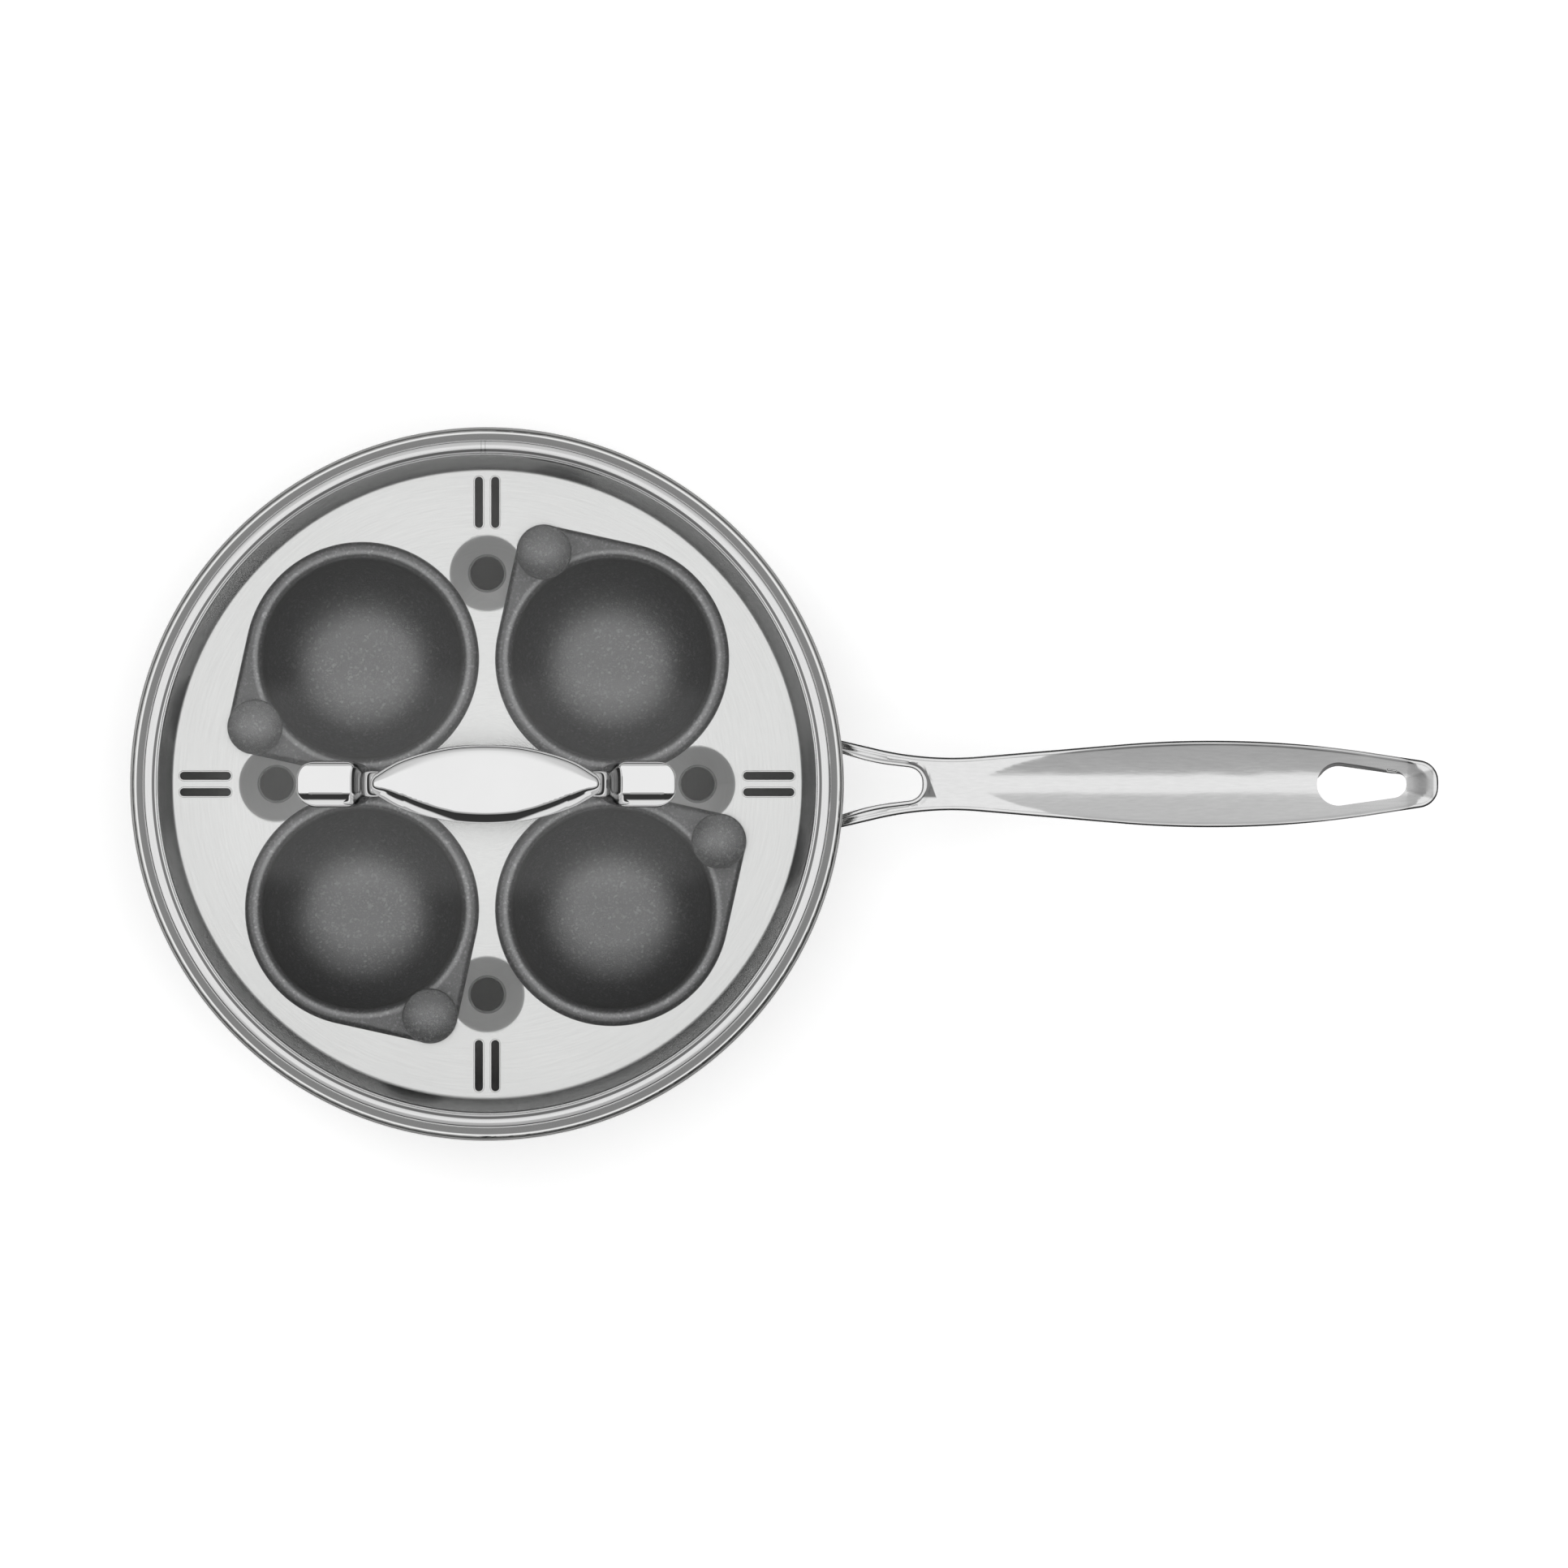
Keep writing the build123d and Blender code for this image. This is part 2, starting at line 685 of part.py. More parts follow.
# Pan handle
with BuildPart() as pan_handle:
    with BuildSketch(Plane.XZ.offset(-wall_plate_width)):
        with BuildLine():
            top_points = [(wall_outer_radius + s * handle_length, handle_top(s)) for s in profile_shares]
            low_points = [(wall_outer_radius + s * handle_length, handle_bottom(s)) for s in profile_shares]
            ThreePointArc(*top_points)
            ThreePointArc(*low_points)
            Line(top_points[0], low_points[0])
            Line(top_points[-1], low_points[-1])
        make_face()
    extrude(amount=2 * wall_plate_width)
    add(handle_outline)
    extrude(amount=handle_ceiling, mode=Mode.INTERSECT)
    add(fork_outline)
    add(hang_hole(0))
    extrude(amount=handle_ceiling, mode=Mode.SUBTRACT)
    for up, round_radius in ((-1, handle_bottom_round), (1, handle_top_round)):
        outer_face = pan_handle.faces().filter_by(lambda f: up * f.normal_at().Z > 0).sort_by(SortBy.AREA)[-1]
        fillet(outer_face.edges().filter_by(lambda edge: edge.center().X > wall_outer_radius), round_radius)
    add(scoop_window.part, mode=Mode.SUBTRACT)
    add(wall_plate.part)
    Cylinder(wall_outer_radius, 2 * pan_height, mode=Mode.SUBTRACT)
    for side in (1, -1):
        with BuildSketch(rivet_plane(side, pan_bore_radius)):
            Circle(rivet_radius + bore_fit)
        extrude(amount=pan_sheet + wall_plate_thickness + overrun, mode=Mode.SUBTRACT)

# Rivet heads inside the pan, hollowed to its wall
with BuildPart() as inner_heads:
    for side in (1, -1):
        with BuildSketch(rivet_plane(side, pan_bore_radius + pan_sheet)):
            Circle(rivet_head_radius)
        extrude(amount=-(pan_sheet + rivet_head_height))
    fillet(inner_heads.edges().filter_by(GeomType.CIRCLE).group_by(Axis.X)[0], rivet_head_round)
    Cylinder(pan_bore_radius, 2 * pan_height, mode=Mode.INTERSECT)

# Rivets through the wall and the plate
with BuildPart() as handle_rivets:
    for side in (1, -1):
        with BuildSketch(rivet_plane(side, wall_outer_radius)):
            Circle(rivet_head_radius)
        extrude(amount=wall_plate_thickness + rivet_head_height)
    fillet(handle_rivets.edges().filter_by(GeomType.CIRCLE).group_by(Axis.X)[-1], rivet_head_round)
    Cylinder(plate_face_radius, 2 * pan_height, mode=Mode.SUBTRACT)
    add(inner_heads.part)
    for side in (1, -1):
        with BuildSketch(rivet_plane(side, pan_bore_radius - rivet_head_height / 2)):
            Circle(rivet_radius)
        extrude(amount=pan_sheet + wall_plate_thickness + rivet_head_height)

# One file for each piece that stands alone
save(pan_body.part, "pan_body")
save(base_plate.part, "base_plate")
save(base_core.part, "base_core")
save(pan_handle.part, "pan_handle")
save(handle_rivets.part, "handle_rivets")
save(insert_tray.part, "insert_tray")
save(lid_glass.part, "lid_glass")
save(lid_rim.part, "lid_rim")
save(lid_handle.part, "lid_handle")
for side, name in ((1, "right"), (-1, "left")):
    save(lid_gasket(side), f"lid_gasket_{name}")
    save(lid_washer(side), f"lid_washer_{name}")
    save(lid_screw(side), f"lid_screw_{name}")

# The four cups with their knobs and screws, a quarter turn apart
for number in range(station_count):
    quarter = Location((0, 0, 0), (0, 0, 360 * number / station_count))
    for form, name in ((cup_form, "egg_cup"), (knob_form, "cup_knob"), (knob_screw_form, "knob_screw")):
        with BuildPart() as repeat:
            with Locations(quarter):
                add(form.part)
        save(repeat.part, f"{name}_{number + 1}")
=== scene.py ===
"""The looks of an egg poacher pan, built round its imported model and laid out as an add-on."""

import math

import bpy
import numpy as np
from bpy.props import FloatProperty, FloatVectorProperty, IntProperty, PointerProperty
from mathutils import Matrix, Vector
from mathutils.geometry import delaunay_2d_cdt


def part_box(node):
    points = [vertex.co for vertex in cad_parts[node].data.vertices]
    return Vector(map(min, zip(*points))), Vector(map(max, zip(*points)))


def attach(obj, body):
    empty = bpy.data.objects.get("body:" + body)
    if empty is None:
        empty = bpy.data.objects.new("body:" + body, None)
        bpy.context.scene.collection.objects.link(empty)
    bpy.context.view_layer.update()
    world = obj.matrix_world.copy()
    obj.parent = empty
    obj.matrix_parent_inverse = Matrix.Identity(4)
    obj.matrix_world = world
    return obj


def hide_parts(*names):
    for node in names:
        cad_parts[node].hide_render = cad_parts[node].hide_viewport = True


bl_info = {
    "name": "Egg poacher pan",
    "version": (1, 0, 0),
    "blender": (4, 5, 0),
    "location": "View3D > Sidebar > Poacher",
    "description": "Finishes and fine shapes of a poacher pan with tray, cups and glass lid",
    "category": "Object",
}

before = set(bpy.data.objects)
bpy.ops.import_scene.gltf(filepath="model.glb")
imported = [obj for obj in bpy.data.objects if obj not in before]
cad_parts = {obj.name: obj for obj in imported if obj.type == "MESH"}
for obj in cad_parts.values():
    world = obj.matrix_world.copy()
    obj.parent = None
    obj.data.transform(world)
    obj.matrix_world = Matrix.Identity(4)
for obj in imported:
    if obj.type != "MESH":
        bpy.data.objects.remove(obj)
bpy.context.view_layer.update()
MM = 0.001

PAN_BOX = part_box("pan_body")
TRAY_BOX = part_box("insert_tray")
RIM_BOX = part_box("lid_rim")
HANDLE_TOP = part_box("lid_handle")[1].z * 1000


# Wires and nodes

def arithmetic(operation, swapped=False):
    """A method that adds one Math node."""

    def method(self, other=0.0):
        first, second = (other, self) if swapped else (self, other)
        return self.nodes.add("ShaderNodeMath", {"operation": operation}, {0: first, 1: second})

    return method


class Wire:
    """A socket of a node tree. Arithmetic on wires and numbers adds Math nodes."""

    def __init__(self, nodes, socket):
        self.nodes = nodes
        self.socket = socket

    __add__ = __radd__ = arithmetic("ADD")
    __mul__ = __rmul__ = arithmetic("MULTIPLY")
    __sub__ = arithmetic("SUBTRACT")
    __rsub__ = arithmetic("SUBTRACT", swapped=True)
    __truediv__ = arithmetic("DIVIDE")
    __rtruediv__ = arithmetic("DIVIDE", swapped=True)
    __pow__ = arithmetic("POWER")
    __abs__ = arithmetic("ABSOLUTE")
    larger = arithmetic("MAXIMUM")
    smaller = arithmetic("MINIMUM")
    arcsine = arithmetic("ARCSINE")


class Nodes:
    """A node tree of any kind, filled through one method."""

    def __init__(self, tree):
        self.tree = tree

    def add(self, kind, settings=None, sockets=None, output=0):
        """A new node: its settings first, then its sockets' values or wires. Gives one output back."""
        node = self.tree.nodes.new(kind)
        for name, value in (settings or {}).items():
            if name == "stops":
                ramp = node.color_ramp.elements
                while len(ramp) < len(value):
                    ramp.new(1.0)
                for stop, (position, level) in zip(ramp, value):
                    stop.position = position
                    stop.color = (level, level, level, 1.0)
            else:
                setattr(node, name, value)
        for key, value in (sockets or {}).items():
            if isinstance(value, Wire):
                self.tree.links.new(value.socket, node.inputs[key])
            else:
                node.inputs[key].default_value = value
        return Wire(self, node.outputs[output]) if node.outputs else None

    def step(self, value, low, high):
        """A smooth step from 0 at low to 1 at high."""
        sockets = {"Value": value, "From Min": low, "From Max": high}
        return self.add("ShaderNodeMapRange", {"interpolation_type": "SMOOTHSTEP"}, sockets)

    def band(self, value, low, high, soft):
        """A mask that is 1 between low and high."""
        return self.step(value, low - soft, low + soft) * (1 - self.step(value, high - soft, high + soft))

    def blend(self, factor, first, second):
        """A colour between two others."""
        settings = {"data_type": "RGBA"}
        return self.add("ShaderNodeMix", settings, {0: factor, 6: first, 7: second}, output=2)


class Finish(Nodes):
    """A procedural material that ends in one Principled shader."""

    def __init__(self, name):
        self.material = bpy.data.materials.new(name)
        self.material.use_nodes = True
        super().__init__(self.material.node_tree)
        self.tree.nodes.clear()

    def place(self):
        """Object coordinates, in metres."""
        return self.add("ShaderNodeTexCoord", output="Object")

    def axes(self):
        split = self.add("ShaderNodeSeparateXYZ", {}, {0: self.place()})
        return [Wire(self, socket) for socket in split.socket.node.outputs]

    def rise(self, value, low, high):
        """A smooth step between two places in millimetres."""
        return self.step(value, low * MM, high * MM)

    def zone(self, value, limits, soft):
        """A mask that is 1 between two places in millimetres."""
        return self.band(value, limits[0] * MM, limits[1] * MM, soft * MM)

    def vector(self, x, y, z):
        return self.add("ShaderNodeCombineXYZ", {}, {0: x, 1: y, 2: z})

    def tones(self, factor, tone, darker, lighter):
        """A tone that varies between two shades."""
        return self.blend(factor, shade(tone, darker), shade(tone, lighter))

    def noise(self, vector, scale, detail, roughness):
        sockets = {"Vector": vector, "Scale": scale, "Detail": detail, "Roughness": roughness}
        return self.add("ShaderNodeTexNoise", {}, sockets)

    def bump(self, height, distance, strength, normal=None):
        sockets = {"Height": height, "Distance": distance, "Strength": strength}
        if normal is not None:
            sockets["Normal"] = normal
        return self.add("ShaderNodeBump", {}, sockets)

    def shader(self, sockets):
        return self.add("ShaderNodeBsdfPrincipled", {}, sockets)

    def metal(self, base, rough, normal, metallic=1.0):
        """End in the shader of a metal."""
        sockets = {"Base Color": base, "Metallic": metallic, "Roughness": rough, "Normal": normal}
        return self.close(self.shader(sockets))

    def close(self, surface):
        self.add("ShaderNodeOutputMaterial", {}, {"Surface": surface})
        return self.material


def shade(colour, factor=1.0):
    """A property's colour as a socket value, lighter or darker by a factor."""
    return (colour[0] * factor, colour[1] * factor, colour[2] * factor, 1.0)


# Sizes and colours that a user would change

def length(name, description, millimetres):
    return FloatProperty(
        name=name, description=description, default=millimetres * MM, min=0.0, unit="LENGTH", precision=4
    )


def share(name, description, default):
    return FloatProperty(name=name, description=description, default=default, min=0.0, max=1.0)


def colour(name, description, default):
    return FloatVectorProperty(
        name=name, description=description, default=default, size=3, min=0.0, max=1.0, subtype="COLOR"
    )


class PoacherSizes(bpy.types.PropertyGroup):
    """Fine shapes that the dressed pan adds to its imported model."""

    rim_rise: length("Handle rim", "Height of the rim round the pan handle over the face inside it", 0.07)
    trough_depth: length("Trough depth", "Depth of the long trough in the pan handle's top", 2.0)
    tip_dish: length("Tip dish", "Depth of the thumb dish at the pan handle's tip", 1.0)
    plate_round: length("Plate edge", "Rounding of the wall plate's edge", 0.7)
    grip_crown: length("Grip crown", "Rise of the lid grip's face over its edges", 0.9)
    grip_edge: length("Grip edge", "Rounding of the lid grip's back edge", 1.5)
    hoop_crown: length("Hoop crown", "Rise of the lid hoop's top over its edges", 0.28)
    vent_bead: length("Vent edge", "Radius of the rounded edges round the tray's vents", 0.42)
    drain_bead: length("Drain edge", "Radius of the rounded edges round the tray's drain holes", 0.12)
    lip_roll: length("Lip roll", "Radius of the rolled edge of the pan's lip", 0.5)
    hoop_segments: IntProperty(
        name="Hoop segments", description="Straight runs in the lid hoop", default=360, min=48, max=720
    )


class PoacherFinishes(bpy.types.PropertyGroup):
    """Colours and gloss of the pan's finishes."""

    pan_colour: colour("Pan steel", "Drawn stainless sheet of the pan", (0.80, 0.80, 0.79))
    tray_colour: colour("Tray steel", "Bright sheet of the tray", (0.89, 0.89, 0.885))
    hoop_colour: colour("Hoop steel", "Polished band round the glass", (0.82, 0.82, 0.82))
    cast_colour: colour("Cast steel", "Satin casting of the pan handle", (0.86, 0.86, 0.86))
    mirror_colour: colour("Mirror steel", "Polished lid handle", (0.90, 0.90, 0.90))
    coating_colour: colour("Coating", "Dark non-stick coating of cups and knobs", (0.30, 0.30, 0.303))
    fleck_colour: colour("Flecks", "Metal flecks in the coating", (0.66, 0.66, 0.67))
    core_colour: colour("Core aluminium", "Edge of the heat disc", (0.74, 0.74, 0.75))
    screw_colour: colour("Screw steel", "Screws, washers and rivets", (0.72, 0.72, 0.72))
    seal_colour: colour("Silicone", "Soft pads under the lid handle", (0.62, 0.62, 0.61))
    glass_colour: colour("Glass", "Tempered glass of the lid", (0.992, 0.995, 0.993))
    pan_roughness: share("Pan roughness", "Mean roughness of the drawn sheet", 0.24)
    tray_roughness: share("Tray roughness", "Mean roughness of the tray", 0.2)
    cast_roughness: share("Cast roughness", "Mean roughness of the pan handle", 0.12)
    mirror_roughness: share("Mirror roughness", "Mean roughness of the lid handle", 0.035)
    coating_roughness: share("Coating roughness", "Mean roughness of the coating", 0.33)
    floor_colour: colour("Floor", "Pale floor under the pan", (0.85, 0.85, 0.85))


def sizes():
    return bpy.context.scene.poacher_sizes


def finishes():
    return bpy.context.scene.poacher_finishes


# Finishes

# Marks in the finishes, many of them painted shade and the cup's crest a painted highlight, in millimetres.
# A pair says from where to where a mark runs or rises, along a radius, an axis or upward. First the places
# that
# radii start from: a drain hole, a cup and the end of the fork's gap.
DRAIN_RING = 61.7
CUP_PLACE = 36.63
FORK_CENTRE = 123.85
LIP_SHADE_LINE = (103.8, 104.7)
PAN_INSIDE = (99.2, 99.3)
UNDER_LIP = (65.0, 66.0)
FLANGE_SHADE = (101.3, 103.15)
DIMPLE_EDGE = (10.7, 11.2)
DIMPLE_FLOOR = (4.7, 5.6)
TRAY_WALL = (92.2, 96.3)
GLASS_SHADE_LINE = (97.8, 98.6)
WELD_LINES = (-1.67, -0.48)
WELD_HALF = 0.12
WELD_FROM = (90.0, 95.0)
# Painted shade at the pan handle's tip hollow and pocket. The tip's hollow opens like a fan, by a slope. The
# pocket lies outside a circle, between its start, a slanted line at its end and its two sides, and its ring
# follows the circle.
TIP_HOLLOW = (270.3, 278.3)
TIP_FAN_START = 270.5
TIP_FAN_SLOPE = 0.3
TIP_FAN_EDGE = (1.6, 2.6)
POCKET = (5.6, 5.8)
POCKET_START = (122.5, 125.5)
POCKET_END = (130.7, 131.0)
POCKET_SLANT = 0.368
POCKET_SIDES = ((-4.4, -3.5), (3.6, 5.2))
POCKET_RING = (5.7, 6.5)
POCKET_RING_SIDE = (1.0, 3.0)
HOLE_SPAN = (243.0, 272.0)
HOLE_SIDE = (6.5, 6.7)
LEG_HOLLOW = (35.4, 39.0)
LEG_HEIGHTS = (98.9, 119.0)
CUP_WALL = (42.0, 48.0)
CUP_FLANGE = (62.0, 64.0)
CUP_CREST_HIGHLIGHT = (30.7, 31.9)
# Coating: how much darker it is where it lies evenly. Flecks: how many cells to the metre, the share of
# cells without one, and their strength.
EVEN_DEPTH = 0.3
FLECKS = ((2300.0, 0.8, 0.3), (1450.0, 0.9, 0.45))


def spun_steel(name, tone, roughness, spread, marks=None):
    """Sheet steel polished round its axis. Marks gives masks of what is darker, mostly painted shade, and of
    what is rougher.
    """
    finish = Finish(name)
    x, y, z = finish.axes()
    radius = (x * x + y * y) ** 0.5 + 1e-6
    around = finish.vector(x / radius * 7.0, y / radius * 7.0, (radius + z) * 2200.0)
    streaks = finish.noise(around, 1.0, 3.0, 0.6)
    clouds = finish.noise(finish.place(), 26.0, 3.0, 0.55)
    base = finish.tones(streaks, tone, 0.92, 1.06)
    rough = roughness + (streaks - 0.5) * spread + (clouds - 0.5) * spread
    if marks:
        dark, matt = marks(finish, x, y, z, radius)
        base = finish.blend(dark, base, shade(tone, 0.12))
        rough = rough + matt * 0.3
    normal = finish.bump(streaks, 0.00002, 0.5, finish.bump(clouds, 0.0009, 0.12))
    return finish.metal(base, rough, normal)


def pan_shade_and_matt(finish, x, y, z, radius):
    """The rolled lip has a painted dark line, a painted reflection of shade, and the inside of the pan is
    duller than its outside.
    """
    within = (1 - finish.rise(radius, *PAN_INSIDE)) * (1 - finish.rise(z, *UNDER_LIP))
    # The first mask is painted shade on the lip; the second only makes the inside rougher.
    return finish.zone(radius, LIP_SHADE_LINE, 0.15) * 0.62, within * 0.8


def tray_shade_and_matt(finish, x, y, z, radius):
    """Painted shade: a dark ring on the flange, the drawn wall darker towards its foot and a dark ring on
    the drain dimples' floor; the drain dimples are matt.
    """
    along = abs(x).larger(abs(y)) - DRAIN_RING * MM
    aside = abs(x).smaller(abs(y))
    reach = (along * along + aside * aside) ** 0.5
    # Painted shade on the flange ring, the dimples' floor and the foot of the wall.
    flange = finish.zone(radius, FLANGE_SHADE, 0.15) * 0.82
    floor = finish.zone(reach, DIMPLE_FLOOR, 0.15) * 0.7
    foot = 1.0 - (radius - TRAY_WALL[0] * MM) * 95.0
    wall = finish.zone(radius, TRAY_WALL, 0.45) * foot * 0.72
    return flange + floor + wall, (1 - finish.rise(reach, *DIMPLE_EDGE)) * 1.3


def hoop_shade_and_seam(finish, x, y, z, radius):
    """A painted line of shade at the glass, and the darker weld seam at the back."""
    # The line at the glass is painted shade; the weld seam is the band's own.
    depth = finish.zone(radius, GLASS_SHADE_LINE, 0.1) * 0.85
    for side in WELD_LINES:
        line = finish.zone(x, (side - WELD_HALF, side + WELD_HALF), 0.1)
        depth = depth + line * finish.rise(y, *WELD_FROM) * 0.3
    return depth, depth * 0.2


def handle_painted_shade(finish, x, y):
    """Painted shade: the hollow at the tip, the pocket behind the fork and the hang hole's wall are darker.
    """
    fan = abs(y) - (x - TIP_FAN_START * MM) * TIP_FAN_SLOPE
    tip = finish.zone(x, TIP_HOLLOW, 0.35) * (1 - finish.rise(fan, *TIP_FAN_EDGE))
    reach = ((x - FORK_CENTRE * MM) ** 2 + y * y) ** 0.5
    low, high = POCKET_SIDES
    pocket = finish.rise(reach, *POCKET) * (1 - finish.rise(x + y * POCKET_SLANT, *POCKET_END))
    pocket = pocket * finish.rise(y, *low) * (1 - finish.rise(y, *high))
    ring = finish.zone(reach, POCKET_RING, 0.15) * finish.rise(y, *POCKET_RING_SIDE)
    pocket = pocket.larger(ring) * finish.rise(x, *POCKET_START)
    normal = finish.add("ShaderNodeTexCoord", output="Normal")
    up = finish.add("ShaderNodeSeparateXYZ", {}, {0: normal}, output=2)
    hole = finish.zone(x, HOLE_SPAN, 0.2) * (1 - finish.rise(abs(y), *HOLE_SIDE))
    wall = hole * (1 - finish.step(abs(up), 0.3, 0.5))
    return tip * 0.36 + pocket * 0.77 + wall


def cast_steel(name, tone, roughness):
    """Cast steel polished along its length, with the soft waves of hand finishing."""
    finish = Finish(name)
    x, y, z = finish.axes()
    lines = finish.noise(finish.vector(x * 90.0, y * 1500.0, z * 1500.0), 1.0, 3.0, 0.6)
    waves = finish.noise(finish.vector(x * 38.0, y * 90.0, z * 60.0), 1.0, 2.0, 0.5)
    pits = finish.noise(finish.place(), 1900.0, 2.0, 0.6)
    base = finish.tones(lines, tone, 0.9, 1.05)
    # Painted shade in the tip's hollow, the pocket behind the fork and the hang hole's wall.
    base = finish.blend(handle_painted_shade(finish, x, y), base, shade(tone, 0.03))
    rough = roughness + (lines - 0.5) * 0.1 + (pits - 0.5) * 0.06
    normal = finish.bump(lines, 0.000012, 0.6, finish.bump(waves, 0.0006, 0.3))
    return finish.metal(base, rough, normal)


def mirror_steel(name, tone, roughness):
    """Mirror-polished casting, with faint wipe marks in its gloss; the hollows at its legs are rougher, and
    darker with painted shade.
    """
    finish = Finish(name)
    x, y, z = finish.axes()
    hollow = finish.zone(abs(x), LEG_HOLLOW, 0.25) * finish.zone(z, LEG_HEIGHTS, 0.6)
    wipes = finish.noise(finish.place(), 70.0, 4.0, 0.6)
    waves = finish.noise(finish.place(), 45.0, 1.0, 0.4)
    base = finish.tones(wipes, tone, 0.97, 1.02)
    # Painted shade in the legs' hollows.
    base = finish.blend(hollow * 0.8, base, shade(tone, 0.1))
    rough = roughness + (wipes - 0.4) * 0.05 + hollow * 0.1
    normal = finish.bump(waves, 0.0004, 0.25)
    return finish.metal(base, rough, normal)


def cup_shade_and_highlight(finish, x, y, z):
    """Painted shade and a painted highlight: a cup's coating is darker down its wall and on its flange, and
    lighter on the flange's crest.
    """
    reach = ((abs(x) - CUP_PLACE * MM) ** 2 + (abs(y) - CUP_PLACE * MM) ** 2) ** 0.5
    above = finish.rise(z, *CUP_FLANGE)
    wall = finish.rise(z, *CUP_WALL) * (1 - above)
    crest = finish.zone(reach, CUP_CREST_HIGHLIGHT, 0.5)
    # Wall and flange get painted shade, the crest a painted highlight.
    return EVEN_DEPTH + wall * 0.36 + above * (0.16 - crest * 0.46)


def coating(name, tone, fleck, roughness, marks=None):
    """Dark sprayed coating with fine flecks and fewer large ones. Marks gives how much darker each place is,
    with painted shade and a painted highlight.
    """
    finish = Finish(name)
    place = finish.place()
    grain = finish.noise(place, 2600.0, 2.0, 0.7)
    clouds = finish.noise(place, 120.0, 3.0, 0.5)
    flecks = 0.0
    for size, amount, strength in FLECKS:
        cell_sockets = {"Vector": place, "Scale": size}
        cells = finish.add("ShaderNodeTexVoronoi", {"feature": "F1"}, cell_sockets, "Color")
        pick = finish.add("ShaderNodeSeparateColor", {}, {0: cells})
        flecks = flecks + finish.step(pick, amount, amount + 0.05) * strength
    base = finish.tones(clouds, tone, 0.88, 1.12)
    base = finish.blend(grain, base, shade(tone, 1.35))
    base = finish.blend(flecks, base, shade(fleck))
    depth = marks(finish, *finish.axes()) if marks else EVEN_DEPTH
    base = finish.blend(depth, base, shade(tone, 0.0))
    rough = roughness + (grain - 0.5) * 0.22
    normal = finish.bump(grain + flecks * 0.5, 0.00014, 0.6)
    return finish.metal(base, rough, normal, 0.92)


def plain_metal(name, tone, roughness, grain):
    """Small steel and aluminium parts with a turned or stamped grain."""
    finish = Finish(name)
    marks = finish.noise(finish.place(), grain, 3.0, 0.6)
    base = finish.tones(marks, tone, 0.82, 1.1)
    rough = roughness + (marks - 0.5) * 0.2
    normal = finish.bump(marks, 0.00004, 0.5)
    return finish.metal(base, rough, normal)


def silicone(name, tone):
    """Soft matt pads with a fine moulded grain."""
    finish = Finish(name)
    grain = finish.noise(finish.place(), 900.0, 2.0, 0.6)
    base = finish.tones(grain, tone, 0.9, 1.05)
    normal = finish.bump(grain, 0.00005, 0.4)
    sockets = {"Base Color": base, "Roughness": 0.45 + grain * 0.2, "Normal": normal}
    return finish.close(finish.shader(sockets))


def lid_pane(name, tone):
    """Clear tempered glass that lets the lamps' light through."""
    finish = Finish(name)
    glass = finish.shader(
        {
            "Base Color": shade(tone),
            "Roughness": 0.0,
            "IOR": 1.45,
            "Transmission Weight": 1.0,
            "Specular IOR Level": 0.15,
        }
    )
    clear = finish.add("ShaderNodeBsdfTransparent")
    lamp_rays = finish.add("ShaderNodeLightPath", output="Is Shadow Ray")
    return finish.close(finish.add("ShaderNodeMixShader", {}, {0: lamp_rays, 1: glass, 2: clear}))


# Meshes

# Edges sharper than this many degrees stay sharp.
TURNED_CREASE = 35.0
CASTING_CREASE = 50.0
# Points of a path lie this many millimetres apart. On a slab's edge the pitch is a share of the slab's, and
# a row inside it leaves out points that lie nearer to the edge than a share of the row's depth.
PATH_PITCH = 0.4
EDGE_SHARE = 0.6
ROW_SHARE = 0.97


def new_piece(name, points, faces, material, crease):
    """A smooth mesh piece from points in millimetres."""
    mesh = bpy.data.meshes.new(name)
    mesh.from_pydata([tuple(float(c) * MM for c in p) for p in points], [], faces)
    mesh.validate()
    return dress(name, mesh, material, crease)


def dress(name, mesh, material, crease):
    """Put a mesh in the scene as a smooth piece with its material."""
    mesh.materials.clear()
    mesh.materials.append(material)
    mesh.shade_smooth()
    mesh.set_sharp_from_angle(angle=math.radians(crease))
    piece = bpy.data.objects.new(name, mesh)
    bpy.context.scene.collection.objects.link(piece)
    return piece


def seat(piece, body, slot, *nodes):
    """Let a piece ride on its body and stand for its nodes."""
    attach(piece, body)
    if nodes:
        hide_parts(*nodes)


def rounded_path(corners, radii, pitch=0.8):
    """Points along straight runs whose inner corners are rounded by the radii."""
    corners = [np.array(c, float) for c in corners]
    path = [corners[0]]
    for before, corner, after, radius in zip(corners, corners[1:], corners[2:], radii):
        back, ahead = before - corner, after - corner
        back, ahead = back / np.linalg.norm(back), ahead / np.linalg.norm(ahead)
        opening = math.acos(np.clip(back @ ahead, -1, 1))
        reach = radius / math.tan(opening / 2)
        middle = corner + (back + ahead) / np.linalg.norm(back + ahead) * radius / math.sin(opening / 2)
        first, last = corner + back * reach - middle, corner + ahead * reach - middle
        sweep = math.atan2(first[0] * last[1] - first[1] * last[0], first @ last)
        runs = max(4, int(abs(sweep) * radius / pitch))
        for turn in np.linspace(0, sweep, runs + 1):
            c, s = math.cos(turn), math.sin(turn)
            path.append(middle + np.array([c * first[0] - s * first[1], s * first[0] + c * first[1]]))
    path.append(corners[-1])
    return np.array(path)


def even(path, pitch):
    """The path again with points an even pitch apart."""
    steps = np.r_[0, np.cumsum(np.linalg.norm(np.diff(path, axis=0), axis=1))]
    marks = np.linspace(0, steps[-1], max(2, int(steps[-1] / pitch) + 1))
    return np.stack([np.interp(marks, steps, path[:, k]) for k in (0, 1)], 1)


